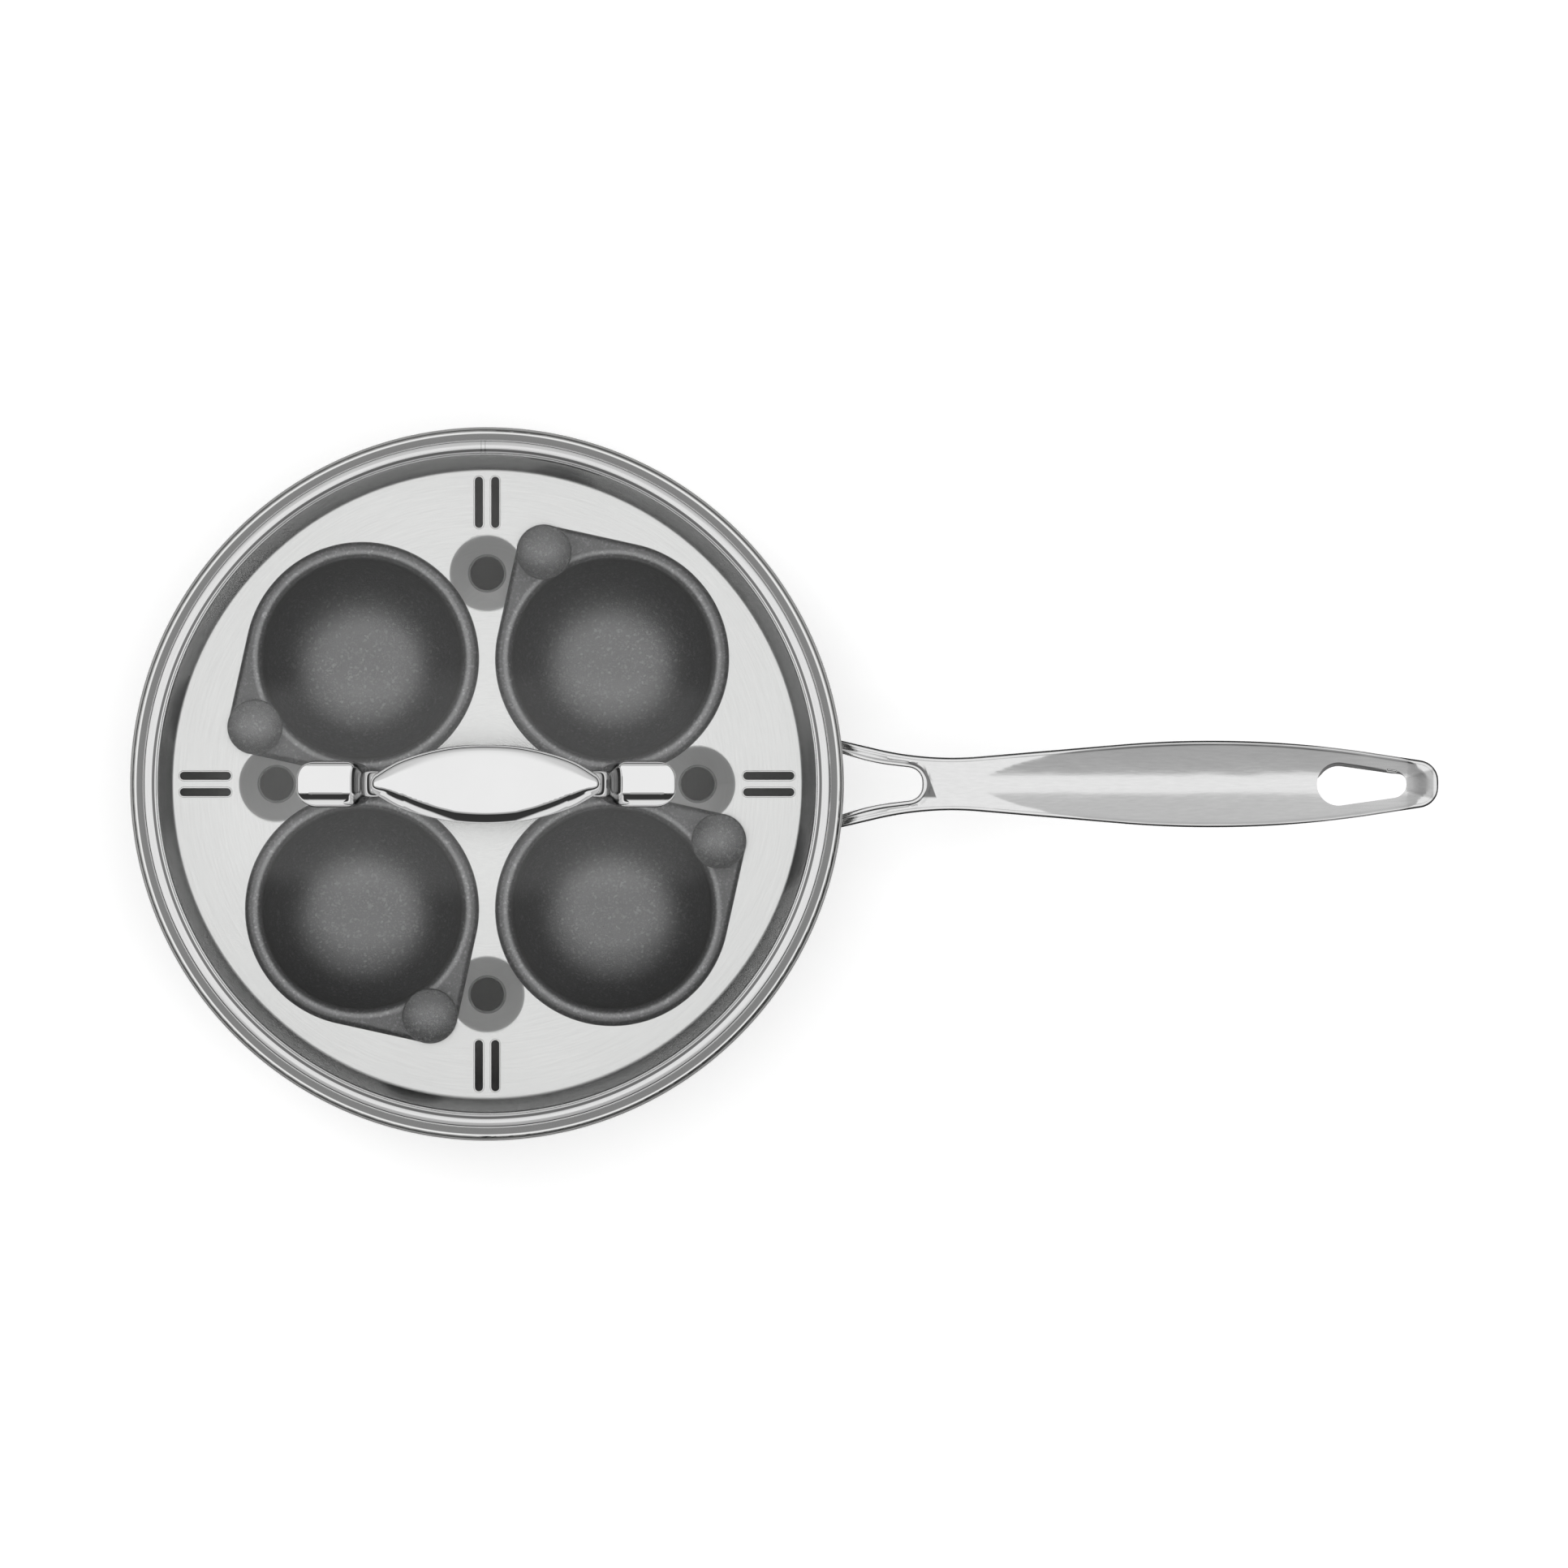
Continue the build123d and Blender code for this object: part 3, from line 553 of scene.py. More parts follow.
def inside(loop, points):
    """Which points lie inside a closed loop."""
    x, y = points[:, 0], points[:, 1]
    hit = np.zeros(len(points), bool)
    for (ax, ay), (bx, by) in zip(loop, np.roll(loop, -1, 0)):
        crossing = (ay > y) != (by > y)
        hit ^= crossing & (x < (bx - ax) * (y - ay) / (by - ay + 1e-12) + ax)
    return hit


def within(loops, points):
    """Which points lie in the first loop and in none of the others, its holes."""
    keep = inside(loops[0], points)
    for hole in loops[1:]:
        keep &= ~inside(hole, points)
    return keep


def edge_distance(loops, points):
    """Distance from each point to the nearest of the loops' edges."""
    best = np.full(len(points), 1e9)
    for loop in loops:
        for a, b in zip(loop, np.roll(loop, -1, 0)):
            run = b - a
            along = np.clip((points - a) @ run / (run @ run + 1e-12), 0, 1)
            best = np.minimum(best, np.linalg.norm(points - a - along[:, None] * run, axis=1))
    return best


def inset(loop, depth):
    """A closed loop moved to its left by a depth."""
    run = np.roll(loop, -1, 0) - np.roll(loop, 1, 0)
    run /= np.linalg.norm(run, axis=1)[:, None] + 1e-12
    return loop + np.stack([-run[:, 1], run[:, 0]], 1) * depth


def relief(loops, depths, pitch, top, bottom, place, place_below=None):
    """A closed slab between a top and a bottom surface. The first loop runs anticlockwise round it and the
    others clockwise round its holes. Rows of points follow the edges at the depths, and the pitch is that
    of the points between. Each surface gets the points and their distances from the edge."""
    rim = [even(np.vstack([loop, loop[:1]]), pitch * EDGE_SHARE)[:-1] for loop in loops]
    points = list(np.vstack(rim))
    extra = [inset(loop, depth) for loop in rim for depth in depths]
    low, high = rim[0].min(0), rim[0].max(0)
    lines = [np.arange(low[axis], high[axis], pitch) for axis in (0, 1)]
    extra.append(np.stack(np.meshgrid(*lines), -1).reshape(-1, 2))
    least = [ROW_SHARE * depth for depth in depths] * len(rim) + [depths[-1] + pitch * EDGE_SHARE]
    for row, clear in zip(extra, least):
        row = row[within(rim, row)]
        points.extend(row[edge_distance(rim, row) >= clear])
    edges, start = [], 0
    for loop in rim:
        count = len(loop)
        edges += [(start + k, start + (k + 1) % count) for k in range(count)]
        start += count
    made = delaunay_2d_cdt([Vector(p) for p in points], edges, [], 0, 1e-5)
    flat, faces = np.array([tuple(p) for p in made[0]]), np.array(made[2])
    faces = faces[within(rim, flat[faces].mean(1))]
    first, second, third = flat[faces].transpose(1, 0, 2)
    turned = np.cross(second - first, third - first) < 0
    faces[turned] = faces[turned][:, ::-1]
    away = edge_distance(rim, flat)
    count = len(flat)
    upper = place(flat, top(flat, away))
    lower = (place_below or place)(flat, bottom(flat, away))
    faces = [tuple(int(corner) for corner in face) for face in faces]
    borders = {pair: None for a, b, c in faces for pair in ((a, b), (b, c), (c, a))}
    sides = [(b, a, a + count, b + count) for a, b in borders if (b, a) not in borders]
    solid = faces + [tuple(corner + count for corner in face[::-1]) for face in faces]
    used = sorted({v for f in solid for v in f})
    order = {v: k for k, v in enumerate(used)}
    corners = np.vstack([upper, lower])[used]
    return corners, [tuple(order[v] for v in f) for f in solid + sides]


# Node-made pieces

def geometry_tree(name, numbers, counts):
    """A Geometry Nodes tree with inputs for geometry, numbers, counts and a material, and their wires."""
    tree = bpy.data.node_groups.new(name, "GeometryNodeTree")
    labels = {"Geometry": ["Geometry"], "Float": numbers, "Int": counts, "Material": ["Material"]}
    for kind, names in labels.items():
        for label in names:
            tree.interface.new_socket(label, in_out="INPUT", socket_type="NodeSocket" + kind)
    tree.interface.new_socket("Geometry", in_out="OUTPUT", socket_type="NodeSocketGeometry")
    nodes = Nodes(tree)
    source = nodes.add("NodeGroupInput").socket.node
    return nodes, {socket.name: Wire(nodes, socket) for socket in source.outputs if socket.name}


def close_tree(nodes, geometry, material):
    """End a tree in Realize Instances and Set Material."""
    real = nodes.add("GeometryNodeRealizeInstances", {}, {0: geometry})
    done = nodes.add("GeometryNodeSetMaterial", {}, {"Geometry": real, "Material": material})
    nodes.add("NodeGroupOutput", {}, {0: done})
    return nodes.tree


def run_tree(name, tree, base, values, material):
    """Run a tree over some base geometry and keep what it makes as a plain mesh piece."""
    carrier = bpy.data.objects.new(name + "_base", base)
    bpy.context.scene.collection.objects.link(carrier)
    modifier = carrier.modifiers.new("nodes", "NODES")
    modifier.node_group = tree
    sockets = {item.name: item.identifier for item in tree.interface.items_tree if item.in_out == "INPUT"}
    for label, value in values.items():
        modifier[sockets[label]] = value
    modifier[sockets["Material"]] = material
    mesh = bpy.data.meshes.new_from_object(carrier.evaluated_get(bpy.context.evaluated_depsgraph_get()))
    carrier.modifiers.clear()
    bpy.data.objects.remove(carrier)
    mesh.name = name
    return dress(name, mesh, material, TURNED_CREASE)


def profile_curve(name, points):
    """A closed flat curve through points in millimetres: first across, then up."""
    curve = bpy.data.curves.new(name, "CURVE")
    curve.dimensions = "3D"
    line = curve.splines.new("POLY")
    line.points.add(len(points) - 1)
    for point, (across, up) in zip(line.points, points):
        point.co = (across * MM, -up * MM, 0.0, 1.0)
    line.use_cyclic_u = True
    return curve


def lathe_tree(name):
    """Turns the base profile round the Z axis."""
    nodes, wires = geometry_tree(name, ["Turning Radius"], ["Segments"])
    sockets = {"Resolution": wires["Segments"], "Radius": wires["Turning Radius"]}
    circle = nodes.add("GeometryNodeCurvePrimitiveCircle", {"mode": "RADIUS"}, sockets)
    turned = nodes.add("GeometryNodeCurveToMesh", {}, {"Curve": circle, "Profile Curve": wires["Geometry"]})
    return close_tree(nodes, turned, wires["Material"])


def lathe(name, outline, segments, material):
    """A piece turned from a closed outline: radius and height in millimetres."""
    turning = 0.1
    points = [(radius - turning, height) for radius, height in outline]
    profile = profile_curve(name + "_profile", points)
    values = {"Turning Radius": turning * MM, "Segments": segments}
    return run_tree(name, lathe_tree(name + "_turned"), profile, values, material)


def pressed_edge_tree(name):
    """Rounded edges of slots set across and round a ring, each one with its length along the radius."""
    numbers = ["Ring Radius", "Spacing", "Length", "Width", "Corner", "Bead", "Height"]
    nodes, wires = geometry_tree(name, numbers, ["Places", "Across"])
    sockets = {"Width": wires["Length"], "Height": wires["Width"]}
    slot = nodes.add("GeometryNodeCurvePrimitiveQuadrilateral", {}, sockets)
    sockets = {"Curve": slot, "Count": 14, "Radius": wires["Corner"], "Limit Radius": True}
    slot = nodes.add("GeometryNodeFilletCurve", {"mode": "POLY"}, sockets)
    bead = nodes.add("GeometryNodeCurvePrimitiveCircle", {}, {"Resolution": 12, "Radius": wires["Bead"]})
    edge = nodes.add("GeometryNodeCurveToMesh", {}, {"Curve": slot, "Profile Curve": bead})
    first = nodes.add("ShaderNodeCombineXYZ", {}, {1: (1 - wires["Across"]) * wires["Spacing"] * 0.5})
    pitch = nodes.add("ShaderNodeCombineXYZ", {}, {1: wires["Spacing"]})
    sockets = {"Count": wires["Across"], "Start Location": first, "Offset": pitch}
    row = nodes.add("GeometryNodeMeshLine", {}, sockets)
    group = nodes.add("GeometryNodeInstanceOnPoints", {}, {"Points": row, "Instance": edge})
    group = nodes.add("GeometryNodeRealizeInstances", {}, {0: group})
    sockets = {"Vertices": wires["Places"], "Radius": wires["Ring Radius"]}
    ring = nodes.add("GeometryNodeMeshCircle", {}, sockets)
    turn = nodes.add("GeometryNodeInputIndex") * (2 * math.pi) / wires["Places"]
    spin = nodes.add("ShaderNodeCombineXYZ", {}, {2: turn})
    sockets = {"Points": ring, "Instance": group, "Rotation": spin}
    placed = nodes.add("GeometryNodeInstanceOnPoints", {}, sockets)
    lift = nodes.add("ShaderNodeCombineXYZ", {}, {2: wires["Height"]})
    lifted = nodes.add("GeometryNodeTransform", {}, {"Geometry": placed, "Translation": lift})
    return close_tree(nodes, lifted, wires["Material"])


# Pan handle, in millimetres. A corner's shares are of the handle's length and half belly, or of the fork's
# length and half width, and the bends are the radii between its straight runs. The hang hole's two ends have
# a place and a radius each. The top rises from the root and is crowned between, and gets thinner outward.
WALL_RADIUS = 100.1
HANDLE_LENGTH = 179.6
HALF_BELLY = 12.55
FORK_LENGTH = 28.1
FORK_HALF = 10.2
HANDLE_CORNERS = ((-0.03, 1.20), (0.1654, 0.543), (0.6888, 1.179), (1.0, 0.491), (1.0, 0.0))
HANDLE_BENDS = (96.0, 314.0, 6.04)
FORK_CORNERS = ((-0.19, 1.166), (0.4875, 0.604), (1.0, 0.435), (1.0, 0.0))
FORK_BENDS = (60.0, 4.35)
HOLE_ENDS = ((250.45, 6.35), (266.3, 4.1))
HANDLE_ROOT_TOP = 56.0
HANDLE_RISE = 34.0
HANDLE_CROWN = 4.0
HANDLE_THICKNESS = (10.0, 4.8)
EDGE_ROUND_BELOW = 1.7
EDGE_ROWS = (0.12, 0.28, 0.44, 0.52, 0.7, 0.93, 1.1, 1.28, 1.42, 1.7)
# Trough: rows of a distance from the pan's axis and the trough's half width there. Its bottom is rounded
# and its sides are straight.
TROUGH_ROWS = (
    (142.0, 0.6),
    (146.5, 3.0),
    (152.0, 5.0),
    (158.0, 6.8),
    (168.0, 8.8),
    (185.0, 11.0),
    (215.0, 12.0),
    (245.0, 11.0),
    (262.0, 9.4),
    (272.0, 6.4),
    (279.0, 0.6),
)
TROUGH_BOTTOM = 3.85
# Rim: rows of a distance in from the edge and the drop below the crest, as a share of the rim's rise. Along
# the fork the rim is higher by the factor.
RIM_ROWS = ((0.95, 0.0), (1.1, 0.3), (1.28, 0.74), (1.42, 0.94), (1.7, 1.0))
FORK_RIM = 3.5
# Chamfer on the edge: its width outside and along the fork, its mean tilt in degrees, by how much that
# differs on the handle's two sides, and the distance from the middle where it does so in full.
CHAMFER = (0.5, 0.3)
CHAMFER_TILT = (34.0, 4.5)
CHAMFER_TURN = 4.0
# Middle of the fork's arms: distances from the pan's axis and half widths.
ARM_MIDDLE = ((100.0, 115.0, 128.0, 131.0), (12.4, 7.9, 5.7, 0.0))
# Tip dish and the swell at the fork's roots: where each one starts or ends, and how long it takes.
DISH_START = (256.0, 14.0)
DISH_END = (278.2, 7.6)
ROOT_END = (114.0, 15.0)
ROOT_SWELL = 1.4
# Hang hole's back wall: how far it leans out and how near the hole, from what half width, and to where.
HOLE_LEAN = (1.1, 1.5)
HOLE_LEAN_SIDE = (1.0, 3.0)
HOLE_LEAN_END = (272.0, 6.0)
# Wall plate: half width, half height, corner, thickness and the height of its middle.
WALL_PLATE = (15.0, 11.0, 5.0, 2.5, 51.0)


def trough_side(y):
    """A rounded V: nearly flat in its middle and straight beyond."""
    return np.sqrt(y**2 + TROUGH_BOTTOM**2) - TROUGH_BOTTOM


def handle_level(x):
    """Height of the pan handle's top, and its thickness, at a distance from the pan's axis."""
    along = (x - WALL_RADIUS) / HANDLE_LENGTH
    top = HANDLE_ROOT_TOP + HANDLE_RISE * along + HANDLE_CROWN * 4 * along * (1 - along)
    return top, HANDLE_THICKNESS[0] + (HANDLE_THICKNESS[1] - HANDLE_THICKNESS[0]) * along


def clear_of_wall(path):
    """The part of a path outside the pan's wall, starting on it."""
    reach = np.hypot(path[:, 0], path[:, 1])
    first = int(np.argmax(reach > WALL_RADIUS))
    share_out = (WALL_RADIUS - reach[first - 1]) / (reach[first] - reach[first - 1])
    return np.vstack([path[first - 1] + (path[first] - path[first - 1]) * share_out, path[first:]])


def handle_loops():
    """Outline of the forked handle and of its hang hole."""
    outer = [(WALL_RADIUS + a * HANDLE_LENGTH, b * HALF_BELLY) for a, b in HANDLE_CORNERS]
    outer = clear_of_wall(even(rounded_path(outer, HANDLE_BENDS), PATH_PITCH))
    fork = [(WALL_RADIUS + a * FORK_LENGTH, b * FORK_HALF) for a, b in FORK_CORNERS]
    fork = clear_of_wall(even(rounded_path(fork, FORK_BENDS), PATH_PITCH))
    flip = np.array([1, -1])
    loop = np.vstack([outer[::-1], fork, (fork * flip)[::-1][1:], outer * flip])[::-1]
    loop = loop[np.r_[True, np.linalg.norm(np.diff(loop, axis=0), axis=1) > 1e-6]]
    (big_x, big), (small_x, small) = HOLE_ENDS
    lean = math.acos((big - small) / (small_x - big_x))
    ends = ((big_x, big, lean, 2 * math.pi - lean, 60), (small_x, small, -lean, lean, 40))
    hole = [
        (middle + radius * math.cos(t), radius * math.sin(t))
        for middle, radius, start, stop, count in ends
        for t in np.linspace(start, stop, count)
    ]
    return oriented(loop, 1), oriented(np.array(hole), -1)


def oriented(loop, sense):
    """The loop, run anticlockwise for 1 and clockwise for -1."""
    x, y = loop[:, 0], loop[:, 1]
    area = np.sum(x * np.roll(y, -1) - np.roll(x, -1) * y)
    return loop if area * sense > 0 else loop[::-1]


def smooth(t):
    """A smooth step from 0 to 1."""
    t = np.clip(t, 0, 1)
    return t * t * (3 - 2 * t)


def started(x, place):
    """A smooth step up from a place, over a length."""
    return smooth((x - place[0]) / place[1])


def to_end(x, place):
    """A smooth step down to a place, over a length."""
    return smooth((place[0] - x) / place[1])


def upright(points, height):
    """Points of a slab that stand straight over its outline."""
    return np.column_stack([points, height])


def edge_round(away, radius):
    """How far a rounded edge lies below its face, at a distance in from the edge."""
    return radius - np.sqrt(np.maximum(radius**2 - np.maximum(radius - away, 0) ** 2, 0))


class POACHER_OT_pan_handle(bpy.types.Operator):
    """Cast pan handle: forked, with a fine rim, a long trough, a tip dish and a plate on the pan's wall"""

    bl_idname = "poacher.pan_handle"
    bl_label = "Pan handle"

    def execute(self, context):
        s, f = sizes(), finishes()
        loop, hole = handle_loops()
        rise, depth, dish = s.rim_rise / MM, s.trough_depth / MM, s.tip_dish / MM
        rows = spline_rows(TROUGH_ROWS, 0.5)
        rim_rows = np.array(RIM_ROWS).T
        widest = trough_side(rows[:, 1].max())

        def top(points, away):
            """Rim and chamfer follow the outline only, so the hang hole's edge stays plain."""
            x, y = points.T
            half = np.interp(x, rows[:, 0], rows[:, 1])
            trough = depth / widest * np.maximum(trough_side(half) - trough_side(y), 0)
            thumb = dish * np.clip((DISH_END[0] - x) / DISH_END[1], 0, 1) * started(x, DISH_START)
            outline_away = edge_distance([loop], points)
            forked = np.abs(y) < np.interp(x, *ARM_MIDDLE)
            facing = np.clip(y / CHAMFER_TURN, -1, 1) * np.where(forked, -1, 1)
            tilt = np.tan(np.radians(CHAMFER_TILT[0] + CHAMFER_TILT[1] * facing))
            edge = np.maximum(np.where(forked, CHAMFER[1], CHAMFER[0]) - outline_away, 0) * tilt
            rim = rise * np.where(forked, FORK_RIM, 1.0) * np.interp(outline_away, *rim_rows)
            root = ROOT_SWELL * to_end(x, ROOT_END)
            return handle_level(x)[0] + root - trough - thumb - edge - rim

        def bottom(points, away):
            level, thickness = handle_level(points[:, 0])
            return level - thickness + edge_round(away, EDGE_ROUND_BELOW)

        def drafted(points, height):
            """The hang hole's back wall leans out below its edge."""
            x, y = points.T
            near = np.exp(-((edge_distance([hole], points) / HOLE_LEAN[1]) ** 2))
            lean = HOLE_LEAN[0] * near * started(y, HOLE_LEAN_SIDE) * to_end(x, HOLE_LEAN_END)
            return np.column_stack([x, y - lean, height])

        corners, faces = relief([loop, hole], EDGE_ROWS, 0.8, top, bottom, upright, drafted)
        corners, faces = joined([(corners, faces), self.wall_plate(s.plate_round / MM)])
        material = cast_steel("satin_cast_steel", f.cast_colour, f.cast_roughness)
        piece = new_piece("pan_handle_casting", corners, faces, material, CASTING_CREASE)
        seat(piece, "pan", "handle_steel", "pan_handle")
        return {"FINISHED"}

    def wall_plate(self, edge):
        """Rounded plate that lies on the pan's wall under the fork."""
        half_width, half_height, corner, thickness, middle = WALL_PLATE
        loop = []
        for quarter, (sx, sy) in enumerate(((1, 1), (-1, 1), (-1, -1), (1, -1))):
            across, up = sx * (half_width - corner), sy * (half_height - corner)
            for turn in np.linspace(0, math.pi / 2, 12):
                angle = quarter * math.pi / 2 + turn
                loop.append((across + corner * math.cos(angle), up + corner * math.sin(angle)))

        def top(points, away):
            return WALL_RADIUS + thickness - edge_round(away, edge)

        def bottom(points, away):
            return np.full(len(points), WALL_RADIUS)

        def on_wall(points, reach):
            angle = points[:, 0] / WALL_RADIUS
            return np.column_stack([reach * np.cos(angle), reach * np.sin(angle), middle + points[:, 1]])

        depths = (0.05, 0.15, 0.32, 0.52, 0.75, 1.2)
        return relief([oriented(np.array(loop), 1)], depths, 1.2, top, bottom, on_wall)


# Lid handle, in millimetres. The grip's outline runs from its middle to where its rounded end begins:
# across and half width. A row before the middle gives the curve its slope there, and points short of the
# middle are left out. The rounded end has a middle and a radius.
GRIP_ROWS = (
    (-10.0, 10.95),
    (0.0, 11.55),
    (10.0, 10.95),
    (19.0, 9.05),
    (26.0, 6.65),
    (29.4, 4.85),
    (31.87, 3.31),
)
GRIP_END = (30.0, 3.8)
GRIP_MIDDLE = 0.1
GRIP_UNDERSIDE = 115.4
GRIP_BELLY = 1.9
GRIP_BELLY_ROUND = 1.0
GRIP_LEAST = 0.4
# Bow along the grip: the distance at which it has dropped by 1. Front crown: a share of the back's.
GRIP_BOW = 34.0
FRONT_CROWN = 0.7
# Bevel along the grip's front: rows of a distance from the middle, the bevel's width and its steepest tilt
# in degrees. Then where the front starts and over what length, the bevel's small round edge, the tilt that
# every bevel starts with and the share of its round edge.
GRIP_BEVEL = (
    (0.0, 2.8, 31.0),
    (9.0, 2.9, 32.0),
    (16.0, 3.4, 39.0),
    (24.0, 3.9, 43.0),
    (30.0, 3.0, 43.0),
    (34.0, 1.6, 42.0),
)
GRIP_FRONT = (-0.6, 2.2)
GRIP_LIP = 0.25
BEVEL_START = 20.0
BEVEL_ROUND = 0.6
# The leg runs from inside the grip to inside a pad: across, up, half width, and the section's rise over
# that line and its drop below it.
LEG_ROWS = (
    (27.0, 118.9, 3.4, 1.5, 2.0),
    (30.5, 118.9, 3.7, 1.6, 2.2),
    (33.3, 118.6, 3.85, 1.7, 2.3),
    (34.6, 116.6, 3.9, 2.0, 2.3),
    (35.3, 111.2, 4.1, 2.1, 2.3),
    (35.9, 105.6, 4.8, 2.2, 2.3),
    (36.8, 101.4, 5.7, 2.2, 2.3),
    (38.4, 98.4, 6.2, 2.2, 2.2),
    (41.0, 96.8, 6.1, 2.0, 2.2),
    (44.0, 96.1, 5.7, 1.6, 1.6),
)
PAD_CENTRE = 46.1
PAD_SIZE = (17.2, 13.8, 5.5)
PAD_CORNERS = (2.5, 5.6)
# Pad: its front bevel's width, steepest tilt and small round edge, then the rounds of its back and its rim.
PAD_BEVEL = (4.2, 45.0, 0.45)
PAD_ROUNDS = (1.8, 0.6)
GASKET = 1.2
DOME_RADIUS = 233.93
DOME_CENTRE = -137.53
SECTION_POINTS = 48
SECTION_SQUARENESS = 3.2


def spline_rows(rows, pitch):
    """Smooth rows at an even pitch through listed rows."""
    rows = np.array(rows, float)
    marks = np.r_[0, np.cumsum(np.linalg.norm(np.diff(rows[:, :2], axis=0), axis=1))]
    slopes = np.diff(rows, axis=0) / np.diff(marks)[:, None]
    tangents = np.vstack([slopes[:1], (slopes[1:] + slopes[:-1]) / 2, slopes[-1:]])
    wanted = np.linspace(0, marks[-1], int(marks[-1] / pitch))
    index = np.clip(np.searchsorted(marks, wanted, "right") - 1, 0, len(marks) - 2)
    span = np.diff(marks)[index][:, None]
    t = ((wanted - marks[index]) / span[:, 0])[:, None]
    return (
        (2 * t**3 - 3 * t**2 + 1) * rows[index]
        + (t**3 - 2 * t**2 + t) * span * tangents[index]
        + (3 * t**2 - 2 * t**3) * rows[index + 1]
        + (t**3 - t**2) * span * tangents[index + 1]
    )


def sweep(rows):
    """A closed bar along rows of across, up, half width, rise and drop. Its section is a squarish oval."""
    rows = spline_rows(rows, PATH_PITCH)
    ahead = np.gradient(rows[:, :2], axis=0)
    ahead /= np.linalg.norm(ahead, axis=1)[:, None]
    turns = np.linspace(0, 2 * math.pi, SECTION_POINTS, endpoint=False)
    power = 2 / SECTION_SQUARENESS
    across = np.sign(np.cos(turns)) * np.abs(np.cos(turns)) ** power
    up = np.sign(np.sin(turns)) * np.abs(np.sin(turns)) ** power
    points, faces = [], []
    for (x, z, half, over, under), (dx, dz) in zip(rows, ahead):
        heights = np.where(up > 0, up * over, up * under)
        points += [(x - dz * h, half * a, z + dx * h) for a, h in zip(across, heights)]
    for ring in range(len(rows) - 1):
        for k in range(SECTION_POINTS):
            a, b = ring * SECTION_POINTS + k, ring * SECTION_POINTS + (k + 1) % SECTION_POINTS
            faces.append((a, b, b + SECTION_POINTS, a + SECTION_POINTS))
    faces.append(tuple(range(SECTION_POINTS))[::-1])
    faces.append(tuple(range(len(points) - SECTION_POINTS, len(points))))
    return np.array(points), faces


def bevel(away, width, steepest, edge):
    """How far a bevel that steepens towards a small round edge lies below its face."""
    shallow, steep = math.tan(math.radians(BEVEL_START)), np.tan(np.radians(steepest))
    along = np.clip((width - away) / (width - edge), 0, 1)
    drop = (width - edge) * along * (shallow + (steep - shallow) * along / 2)
    return drop + np.maximum(edge - away, 0) * steep + BEVEL_ROUND * edge_round(away, edge)


def mirrored(shape):
    """The same shape on the other side of the YZ plane."""
    points, faces = shape
    return points * (-1, 1, 1), [face[::-1] for face in faces]


def joined(shapes):
    """Several shapes' points and faces as one."""
    points, faces = [], []
    for corners, sides in shapes:
        faces += [tuple(v + len(points) for v in face) for face in sides]
        points += list(corners)
    return points, faces


